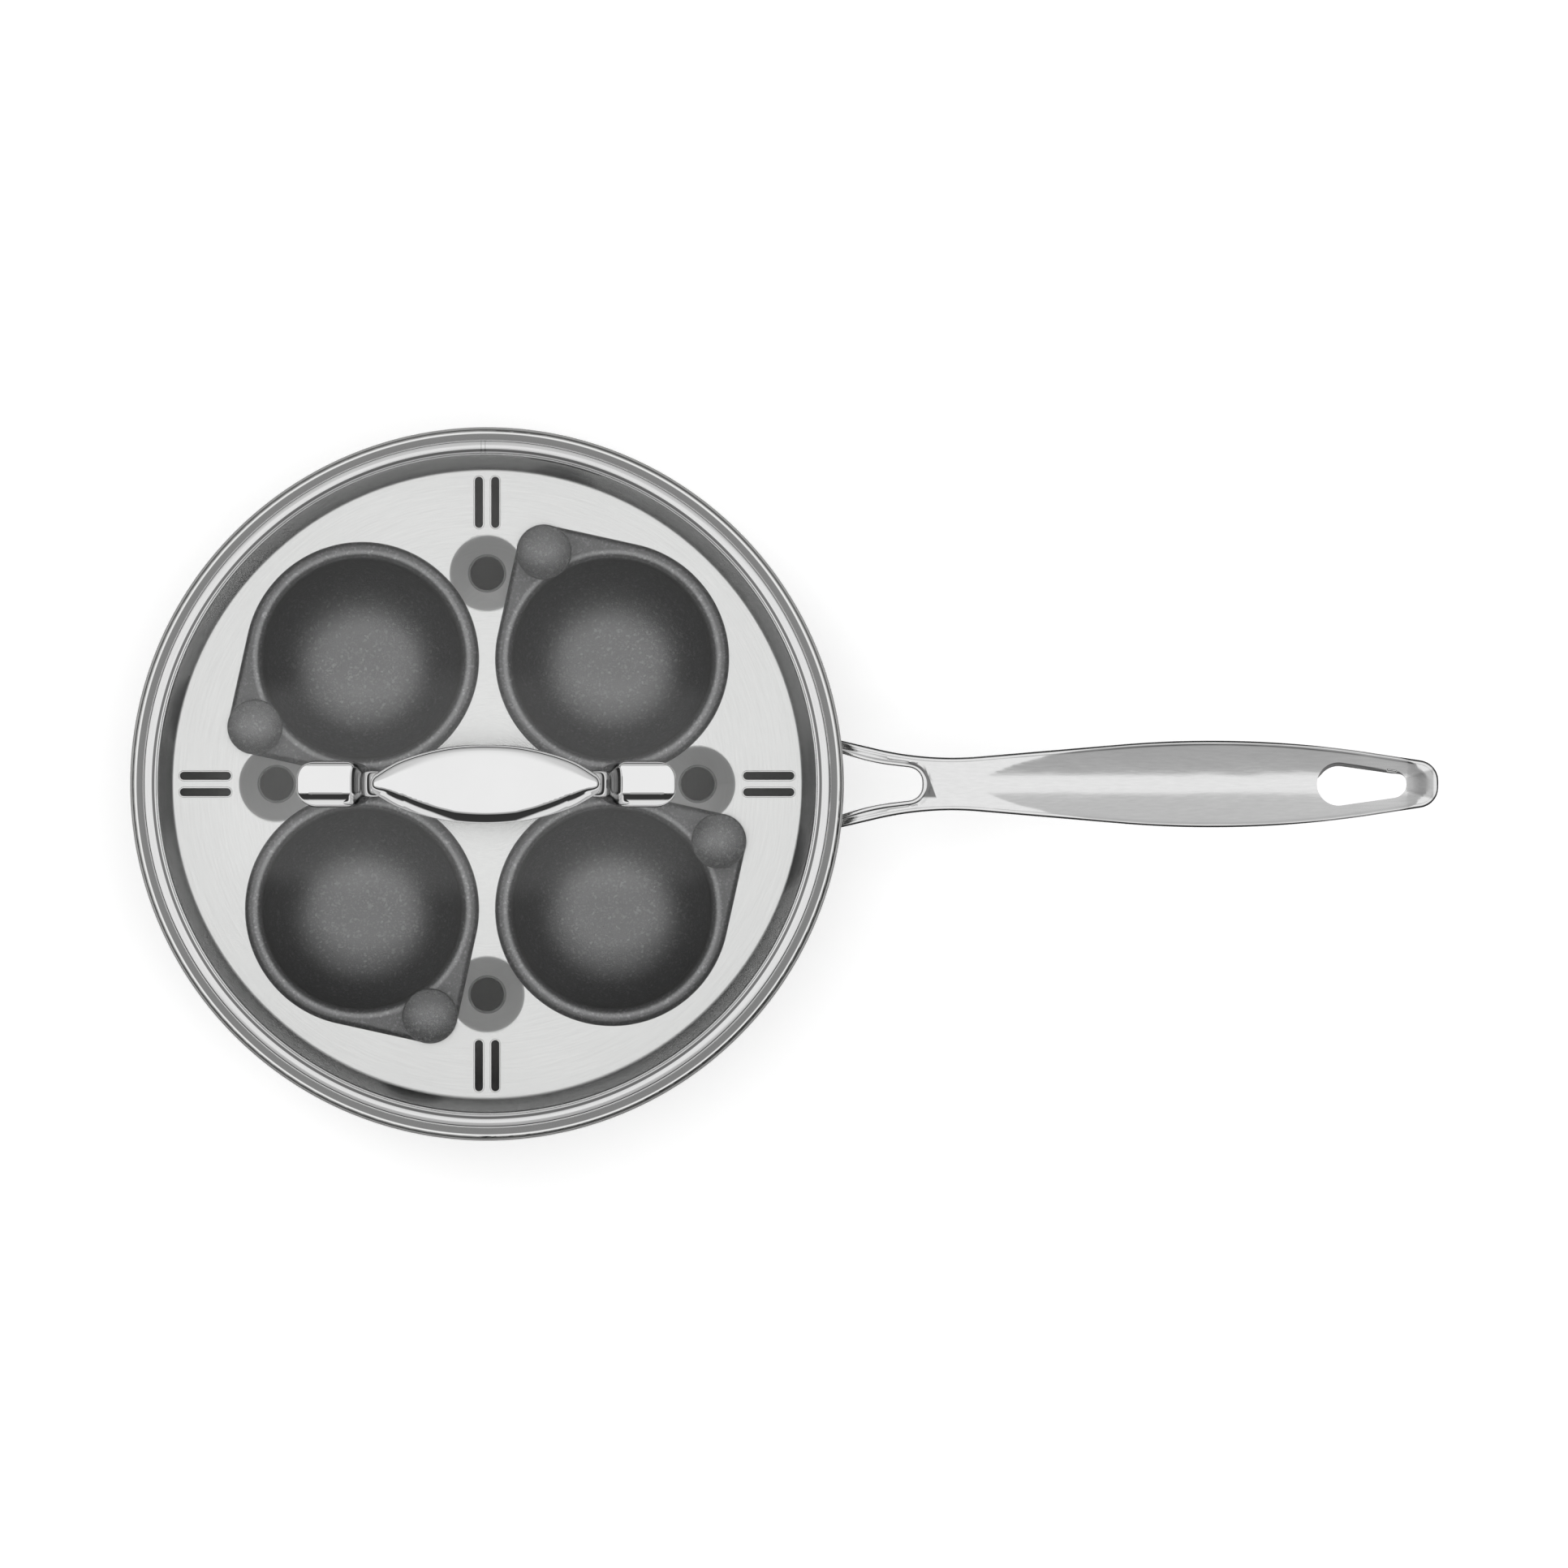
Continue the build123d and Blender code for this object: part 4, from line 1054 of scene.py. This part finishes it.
class POACHER_OT_lid_handle(bpy.types.Operator):
    """Polished lid handle: lens-shaped grip, two legs and two pads that are rounder on their outside"""

    bl_idname = "poacher.lid_handle"
    bl_label = "Lid handle"

    def execute(self, context):
        s, f = sizes(), finishes()
        grip = self.grip(s.grip_crown / MM, s.grip_edge / MM)
        leg, pad = sweep(LEG_ROWS), self.pad()
        points, faces = joined([grip, leg, pad, mirrored(leg), mirrored(pad)])
        material = mirror_steel("mirror_cast_steel", f.mirror_colour, f.mirror_roughness)
        piece = new_piece("lid_handle_casting", points, faces, material, CASTING_CREASE)
        seat(piece, "lid", "grip_chrome", "lid_handle")
        return {"FINISHED"}

    def grip(self, crown, edge):
        """Slightly crowned face, bevelled at the front and rounded at the back, and a fuller belly below."""
        rows = spline_rows(GRIP_ROWS, PATH_PITCH)
        rows = rows[rows[:, 0] > GRIP_MIDDLE]
        places, widths, tilts = np.array(GRIP_BEVEL).T
        middle, radius = GRIP_END
        turns = np.linspace(math.acos(rows[-1, 1] / radius), math.pi / 2, 14)[1:]
        end = [(middle + radius * math.sin(t), radius * math.cos(t)) for t in turns]
        quarter = np.vstack([rows, end])
        half = np.vstack([quarter, quarter[-2::-1] * (1, -1)])
        loop = oriented(np.vstack([half, (half * (-1, 1))[-2:0:-1]]), 1)

        def spread(points):
            """How far across the grip each point lies, as a share of the half width there."""
            return np.abs(points[:, 1]) / np.interp(np.abs(points[:, 0]), rows[:, 0], rows[:, 1])

        def top(points, away):
            x, y = np.abs(points[:, 0]), points[:, 1]
            bow = crown * spread(points) ** 2 * np.where(y < 0, FRONT_CROWN, 1.0) + (x / GRIP_BOW) ** 2
            front = to_end(y, GRIP_FRONT)
            lip = bevel(away, np.interp(x, places, widths), np.interp(x, places, tilts), GRIP_LIP)
            return HANDLE_TOP - bow - front * lip - (1 - front) * edge_round(away, edge)

        def bottom(points, away):
            belly = GRIP_BELLY * np.minimum(spread(points), 1) ** 2 + edge_round(away, GRIP_BELLY_ROUND)
            return np.minimum(GRIP_UNDERSIDE + belly, top(points, away) - GRIP_LEAST)

        depths = (0.05, 0.15, 0.25, 0.4, 0.6, 0.85, 1.1, 1.4, 1.7, 2.0, 2.4, 2.8, 3.2, 3.7)
        return relief([loop], depths, 0.5, top, bottom, upright)

    def pad(self):
        """Pad on the dome, its top bevelled at the front and rounded at the back."""
        length, width, height = PAD_SIZE
        inner, outer = PAD_CORNERS
        long, wide, gap = length / 2, width / 2, 0.01
        corners = [(0, wide), (long, wide), (long, -wide), (-long, -wide), (-long, wide), (-gap, wide)]
        loop = oriented(rounded_path(corners, (outer, outer, inner, inner), PATH_PITCH), 1)
        tilt = math.asin(PAD_CENTRE / DOME_RADIUS)
        out = np.array([math.sin(tilt), 0, math.cos(tilt)])
        along = np.array([math.cos(tilt), 0, -math.sin(tilt)])

        def top(points, away):
            side = wide - np.abs(points[:, 1])
            back, rim = PAD_ROUNDS
            lip = np.where(points[:, 1] < 0, bevel(side, *PAD_BEVEL), edge_round(side, back))
            return height - lip - edge_round(away, rim)

        def bottom(points, away):
            return np.zeros(len(points))

        def tilted(points, reach):
            reach = DOME_RADIUS + GASKET + reach
            place = points[:, :1] * along + reach[:, None] * out
            return place + np.column_stack([0 * reach, points[:, 1], 0 * reach + DOME_CENTRE])

        depths = (0.04, 0.12, 0.25, 0.42, 0.62, 0.85, 1.15, 1.5, 1.95, 2.4, 2.9)
        return relief([loop], depths, 0.7, top, bottom, tilted)


# Lid hoop, pan lip and pressed edges, in millimetres. The hoop is one folded sheet: its skirt's radius, the
# width of its top, the sheet, the radii of its four bends, and between which angles its edges are rounded.
HOOP_SKIRT = 97.0
HOOP_COVER = 3.8
HOOP_SHEET = 0.6
HOOP_BENDS = (0.35, 0.6, 0.7, 2.6)
HOOP_EDGE = (0.3, 2.84)
PAN_LIP_RADIUS = 105.0
PAN_SHEET = 0.9
TRAY_SHEET_MIDDLE = 62.6
DRAIN_DEPTH = 3.1
# Edges: a name, the ring's radius, the slots side by side and their spacing, a slot's length and width,
# the sheet's height, and which size is the edge's radius. Its two sides reach into the slot by the reach.
PRESSED_EDGES = (
    ("vent_edges", 82.5, 2, 4.8, 15.0, 2.4, TRAY_SHEET_MIDDLE, "vent_bead"),
    ("drain_edges", DRAIN_RING, 1, 0.0, 10.0, 10.0, TRAY_SHEET_MIDDLE - DRAIN_DEPTH, "drain_bead"),
)
EDGE_REACH = 0.2


class POACHER_OT_lid_hoop(bpy.types.Operator):
    """Steel hoop round the glass: crowned top, rounded edges and the skirt that centres the lid"""

    bl_idname = "poacher.lid_hoop"
    bl_label = "Lid hoop"

    def execute(self, context):
        s, f = sizes(), finishes()
        outer, top = RIM_BOX[1].x / MM, RIM_BOX[1].z / MM
        floor, foot = TRAY_BOX[1].z / MM, RIM_BOX[0].z / MM
        half, crown = HOOP_SHEET / 2, s.hoop_crown / MM
        corners = (
            (HOOP_SKIRT - half, foot),
            (HOOP_SKIRT - half, floor + half),
            (outer - half, floor + half),
            (outer - half, top - half - crown),
            (outer - HOOP_COVER / 2, top - half),
            (outer - HOOP_COVER, top - half - crown),
        )
        line = rounded_path(corners, HOOP_BENDS, 0.1)
        run = np.gradient(line, axis=0)
        run /= np.linalg.norm(run, axis=1)[:, None]
        across = np.stack([-run[:, 1], run[:, 0]], 1) * half
        ends = ((line[-1], across[-1], run[-1]), (line[0], -across[0], -run[0]))
        turns = np.linspace(*HOOP_EDGE, 5)
        caps = [
            [middle + math.cos(t) * side + math.sin(t) * tip * half for t in turns]
            for middle, side, tip in ends
        ]
        outline = np.vstack([line + across, caps[0], (line - across)[::-1], caps[1]])
        material = spun_steel("spun_hoop_steel", f.hoop_colour, 0.12, 0.08, hoop_shade_and_seam)
        seat(lathe("lid_hoop", outline, s.hoop_segments, material), "lid", "band_steel", "lid_rim")
        return {"FINISHED"}


class POACHER_OT_pan_lip(bpy.types.Operator):
    """Rolled edge round the pan's lip"""

    bl_idname = "poacher.pan_lip"
    bl_label = "Pan lip"

    def execute(self, context):
        s, f = sizes(), finishes()
        roll = s.lip_roll / MM
        radius, height = PAN_LIP_RADIUS - PAN_SHEET / 2, PAN_BOX[1].z / MM - PAN_SHEET / 2
        turns = np.linspace(0, 2 * math.pi, 20, endpoint=False)
        outline = [(radius + roll * math.cos(t), height + roll * math.sin(t)) for t in turns]
        material = spun_steel("rolled_lip_steel", f.pan_colour, 0.14, 0.06, pan_shade_and_matt)
        seat(lathe("pan_lip_roll", outline, s.hoop_segments, material), "pan", "pan_steel")
        return {"FINISHED"}


class POACHER_OT_tray_edges(bpy.types.Operator):
    """Rounded pressed edges round the tray's vents and drain holes"""

    bl_idname = "poacher.tray_edges"
    bl_label = "Tray edges"

    def execute(self, context):
        s, f = sizes(), finishes()
        tree = pressed_edge_tree("pressed_edges")
        # The edges take the tray's steel at half its tone: painted shade that keeps them from shining.
        tone = [level * 0.5 for level in f.tray_colour]
        material = spun_steel("pressed_edge_steel", tone, 0.3, 0.06)
        for name, ring, across, spacing, long, wide, height, size in PRESSED_EDGES:
            bead = getattr(s, size)
            grow = 2 * bead - EDGE_REACH * MM
            values = {
                "Ring Radius": ring * MM,
                "Places": 4,
                "Across": across,
                "Spacing": spacing * MM,
                "Length": long * MM + grow,
                "Width": wide * MM + grow,
                "Corner": (wide * MM + grow) / 2,
                "Bead": bead,
                "Height": height * MM,
            }
            piece = run_tree(name, tree, bpy.data.meshes.new(name), values, material)
            seat(piece, "tray", "tray_steel")
        return {"FINISHED"}


class POACHER_OT_sheet_metal(bpy.types.Operator):
    """Finishes of the pan's body, base and tray"""

    bl_idname = "poacher.sheet_metal"
    bl_label = "Pan, base and tray"

    def execute(self, context):
        f = finishes()
        pan = spun_steel("spun_pan_steel", f.pan_colour, f.pan_roughness, 0.12, pan_shade_and_matt)
        tray = spun_steel("bright_tray_steel", f.tray_colour, f.tray_roughness, 0.07, tray_shade_and_matt)
        cap = spun_steel("turned_cap_steel", f.pan_colour, 0.28, 0.14)
        core = plain_metal("core_aluminium_edge", f.core_colour, 0.4, 500.0)
        rivet = plain_metal("rivet_steel_satin", f.screw_colour, 0.22, 700.0)
        paint({"pan_body": pan, "insert_tray": tray, "base_plate": cap})
        paint({"base_core": core, "handle_rivets": rivet})
        return {"FINISHED"}


class POACHER_OT_cups(bpy.types.Operator):
    """Dark flecked coating of the four cups and their knobs"""

    bl_idname = "poacher.cups"
    bl_label = "Cups and knobs"

    def execute(self, context):
        f = finishes()
        tones, roughness = (f.coating_colour, f.fleck_colour), f.coating_roughness
        cup = coating("flecked_cup_coating", *tones, roughness, cup_shade_and_highlight)
        knob = coating("flecked_knob_coating", *tones, roughness - 0.03)
        screw = plain_metal("knob_screw_steel", f.screw_colour, 0.3, 600.0)
        for number in (1, 2, 3, 4):
            paint({f"egg_cup_{number}": cup, f"cup_knob_{number}": knob, f"knob_screw_{number}": screw})
        return {"FINISHED"}


class POACHER_OT_lid_fittings(bpy.types.Operator):
    """Glass of the lid, and the pads, washers and screws under its handle"""

    bl_idname = "poacher.lid_fittings"
    bl_label = "Glass and fittings"

    def execute(self, context):
        f = finishes()
        screw = plain_metal("lid_screw_steel", f.screw_colour, 0.26, 600.0)
        seal = silicone("soft_silicone", f.seal_colour)
        paint({"lid_glass": lid_pane("clear_lid_glass", f.glass_colour)})
        for side in ("left", "right"):
            paint({f"lid_gasket_{side}": seal, f"lid_washer_{side}": screw, f"lid_screw_{side}": screw})
        return {"FINISHED"}


def paint(materials):
    """Give CAD nodes their materials."""
    for name, material in materials.items():
        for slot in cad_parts[name].material_slots:
            slot.material = material


# Stage

# Sky: rows of a height, as a share of a right angle, and the brightness there.
SKY_STOPS = (
    (0.0, 0.82),
    (0.085, 0.8),
    (0.12, 0.04),
    (0.33, 0.03),
    (0.4, 0.27),
    (0.5, 0.42),
    (0.7, 0.52),
    (0.9, 0.66),
)
# Softbox overhead: its two ends and how soft they are, as slopes, along Y and along X.
SOFTBOX_Y = (-0.28, 0.28, 0.05)
SOFTBOX_X = (-0.8, 0.62, 0.14)
SOFTBOX_TONE = (0.92, 0.92, 0.92, 1.0)
# Floor, in metres: its radius and corners, where the dark middle that pieces mirror, painted shade round the
# pan, begins to fade and has faded, how dark the floor is to them everywhere and how much darker in the
# middle, and its glow.
FLOOR_RADIUS = 8.0
FLOOR_CORNERS = 96
FLOOR_NEAR = (0.11, 0.32)
FLOOR_SHADE = (0.15, 0.3)
FLOOR_GLOW = 0.5
# Lamps: a name, a place and a size in metres, and watts. They face the middle of the pan with its handle.
LAMPS = (
    ("softbox_over", (0.05, 0.0, 2.4), 1.6, 14.0),
    ("softbox_left", (-1.5, 1.2, 1.7), 1.2, 8.0),
    ("softbox_right", (1.7, -1.1, 1.6), 1.2, 6.0),
)
LAMP_AIM = Vector((0.09, 0.0, 0.05))
# Camera: the photograph's scale at the lip, its width in pixels and the pan's middle in it.
PIXELS_PER_MM = 4.186
IMAGE_WIDTH = 1932
PAN_PIXEL = 600.0


class POACHER_OT_stage(bpy.types.Operator):
    """Pale floor, soft studio light and a camera straight above"""

    bl_idname = "poacher.stage"
    bl_label = "Stage"

    def execute(self, context):
        scene = context.scene
        self.world(scene)
        self.floor(scene)
        self.lamps(scene)
        self.camera(scene)
        scene.view_settings.view_transform = "Standard"
        return {"FINISHED"}

    def world(self, scene):
        """A long softbox overhead in mid grey, with a dark band low down over a pale horizon."""
        world = bpy.data.worlds.new("studio")
        world.use_nodes = True
        world.node_tree.nodes.clear()
        nodes = Nodes(world.node_tree)
        ray = nodes.add("ShaderNodeTexCoord", output="Generated")
        split = nodes.add("ShaderNodeSeparateXYZ", {}, {0: ray}).socket.node
        x, y, height = [Wire(nodes, socket) for socket in split.outputs]
        angle = height.arcsine() * (2 / math.pi)
        tone = nodes.add("ShaderNodeValToRGB", {"stops": SKY_STOPS}, {0: angle * (1 + y * 0.5)})
        up = height.larger(0.05)
        box = nodes.band(y / up, *SOFTBOX_Y) * nodes.band(x / up, *SOFTBOX_X)
        tone = nodes.blend(box, tone, SOFTBOX_TONE)
        light = nodes.add("ShaderNodeBackground", {}, {"Color": tone, "Strength": 1.0})
        nodes.add("ShaderNodeOutputWorld", {}, {"Surface": light})
        scene.world = world

    def floor(self, scene):
        """Pale paper that glows for the camera, and is darker for what mirrors it, with painted shade round
        the pan.
        """
        turns = [2 * math.pi * k / FLOOR_CORNERS for k in range(FLOOR_CORNERS)]
        ring = [(FLOOR_RADIUS * math.cos(t), FLOOR_RADIUS * math.sin(t), 0.0) for t in turns]
        mesh = bpy.data.meshes.new("studio_floor")
        mesh.from_pydata(ring, [], [tuple(range(FLOOR_CORNERS))])
        finish = Finish("studio_floor_paint")
        seen = finish.add("ShaderNodeLightPath", output="Is Camera Ray")
        rays = seen.socket.node.outputs
        glossy = Wire(finish, rays["Is Glossy Ray"])
        shown = (seen + Wire(finish, rays["Is Transmission Ray"])).smaller(1.0)
        x, y, z = finish.axes()
        # Painted shade round the pan, seen only in what mirrors the floor.
        near = 1 - finish.step((x * x + y * y) ** 0.5, *FLOOR_NEAR)
        tone, black = shade(finishes().floor_colour), (0, 0, 0, 1)
        tone = finish.blend(glossy * (FLOOR_SHADE[0] + near * FLOOR_SHADE[1]), tone, black)
        paper = finish.add("ShaderNodeBsdfDiffuse", {}, {"Color": tone})
        glow = finish.add("ShaderNodeEmission", {}, {"Color": (1, 1, 1, 1), "Strength": FLOOR_GLOW})
        both = finish.add("ShaderNodeAddShader", {}, {0: paper, 1: glow})
        surface = finish.add("ShaderNodeMixShader", {}, {0: shown, 1: paper, 2: both})
        mesh.materials.append(finish.close(surface))
        floor = bpy.data.objects.new("studio_floor", mesh)
        scene.collection.objects.link(floor)

    def lamps(self, scene):
        """Round area lamps that no piece mirrors."""
        for name, place, size, watts in LAMPS:
            lamp = bpy.data.lights.new(name, "AREA")
            lamp.shape = "DISK"
            lamp.size = size
            lamp.energy = watts
            holder = bpy.data.objects.new(name, lamp)
            holder.location = place
            holder.rotation_euler = (LAMP_AIM - Vector(place)).to_track_quat("-Z", "Y").to_euler()
            holder.visible_glossy = False
            holder.visible_transmission = False
            scene.collection.objects.link(holder)

    def camera(self, scene):
        """Straight down over the picture's middle, and as wide as the photograph at the lip's height."""
        width = IMAGE_WIDTH / PIXELS_PER_MM * MM
        camera = bpy.data.cameras.new("camera")
        camera.sensor_width = 36.0
        camera.lens = 900.0
        distance = width * camera.lens / camera.sensor_width
        holder = bpy.data.objects.new("camera", camera)
        across = (IMAGE_WIDTH / 2 - PAN_PIXEL) / PIXELS_PER_MM * MM
        holder.location = (across, 0.0, PAN_BOX[1].z + distance)
        camera.clip_start = 0.1
        camera.clip_end = 50.0
        scene.collection.objects.link(holder)
        scene.camera = holder


class POACHER_PT_panel(bpy.types.Panel):
    """Sizes, finishes and building steps of the poacher pan"""

    bl_idname = "POACHER_PT_panel"
    bl_label = "Egg poacher pan"
    bl_space_type = "VIEW_3D"
    bl_region_type = "UI"
    bl_category = "Poacher"

    def draw(self, context):
        for group in (context.scene.poacher_sizes, context.scene.poacher_finishes):
            box = self.layout.box()
            for name in group.__annotations__:
                box.prop(group, name)
        for operator in OPERATORS:
            self.layout.operator(operator.bl_idname)


OPERATORS = (
    POACHER_OT_sheet_metal,
    POACHER_OT_tray_edges,
    POACHER_OT_pan_handle,
    POACHER_OT_pan_lip,
    POACHER_OT_cups,
    POACHER_OT_lid_hoop,
    POACHER_OT_lid_handle,
    POACHER_OT_lid_fittings,
    POACHER_OT_stage,
)
CLASSES = (PoacherSizes, PoacherFinishes, *OPERATORS, POACHER_PT_panel)


def register():
    for item in CLASSES:
        bpy.utils.register_class(item)
    bpy.types.Scene.poacher_sizes = PointerProperty(type=PoacherSizes)
    bpy.types.Scene.poacher_finishes = PointerProperty(type=PoacherFinishes)


def unregister():
    del bpy.types.Scene.poacher_finishes
    del bpy.types.Scene.poacher_sizes
    for item in reversed(CLASSES):
        bpy.utils.unregister_class(item)


def main():
    """Build every piece in order."""
    register()
    for operator in OPERATORS:
        group, step = operator.bl_idname.split(".")
        getattr(getattr(bpy.ops, group), step)()


if __name__ == "__main__":
    main()
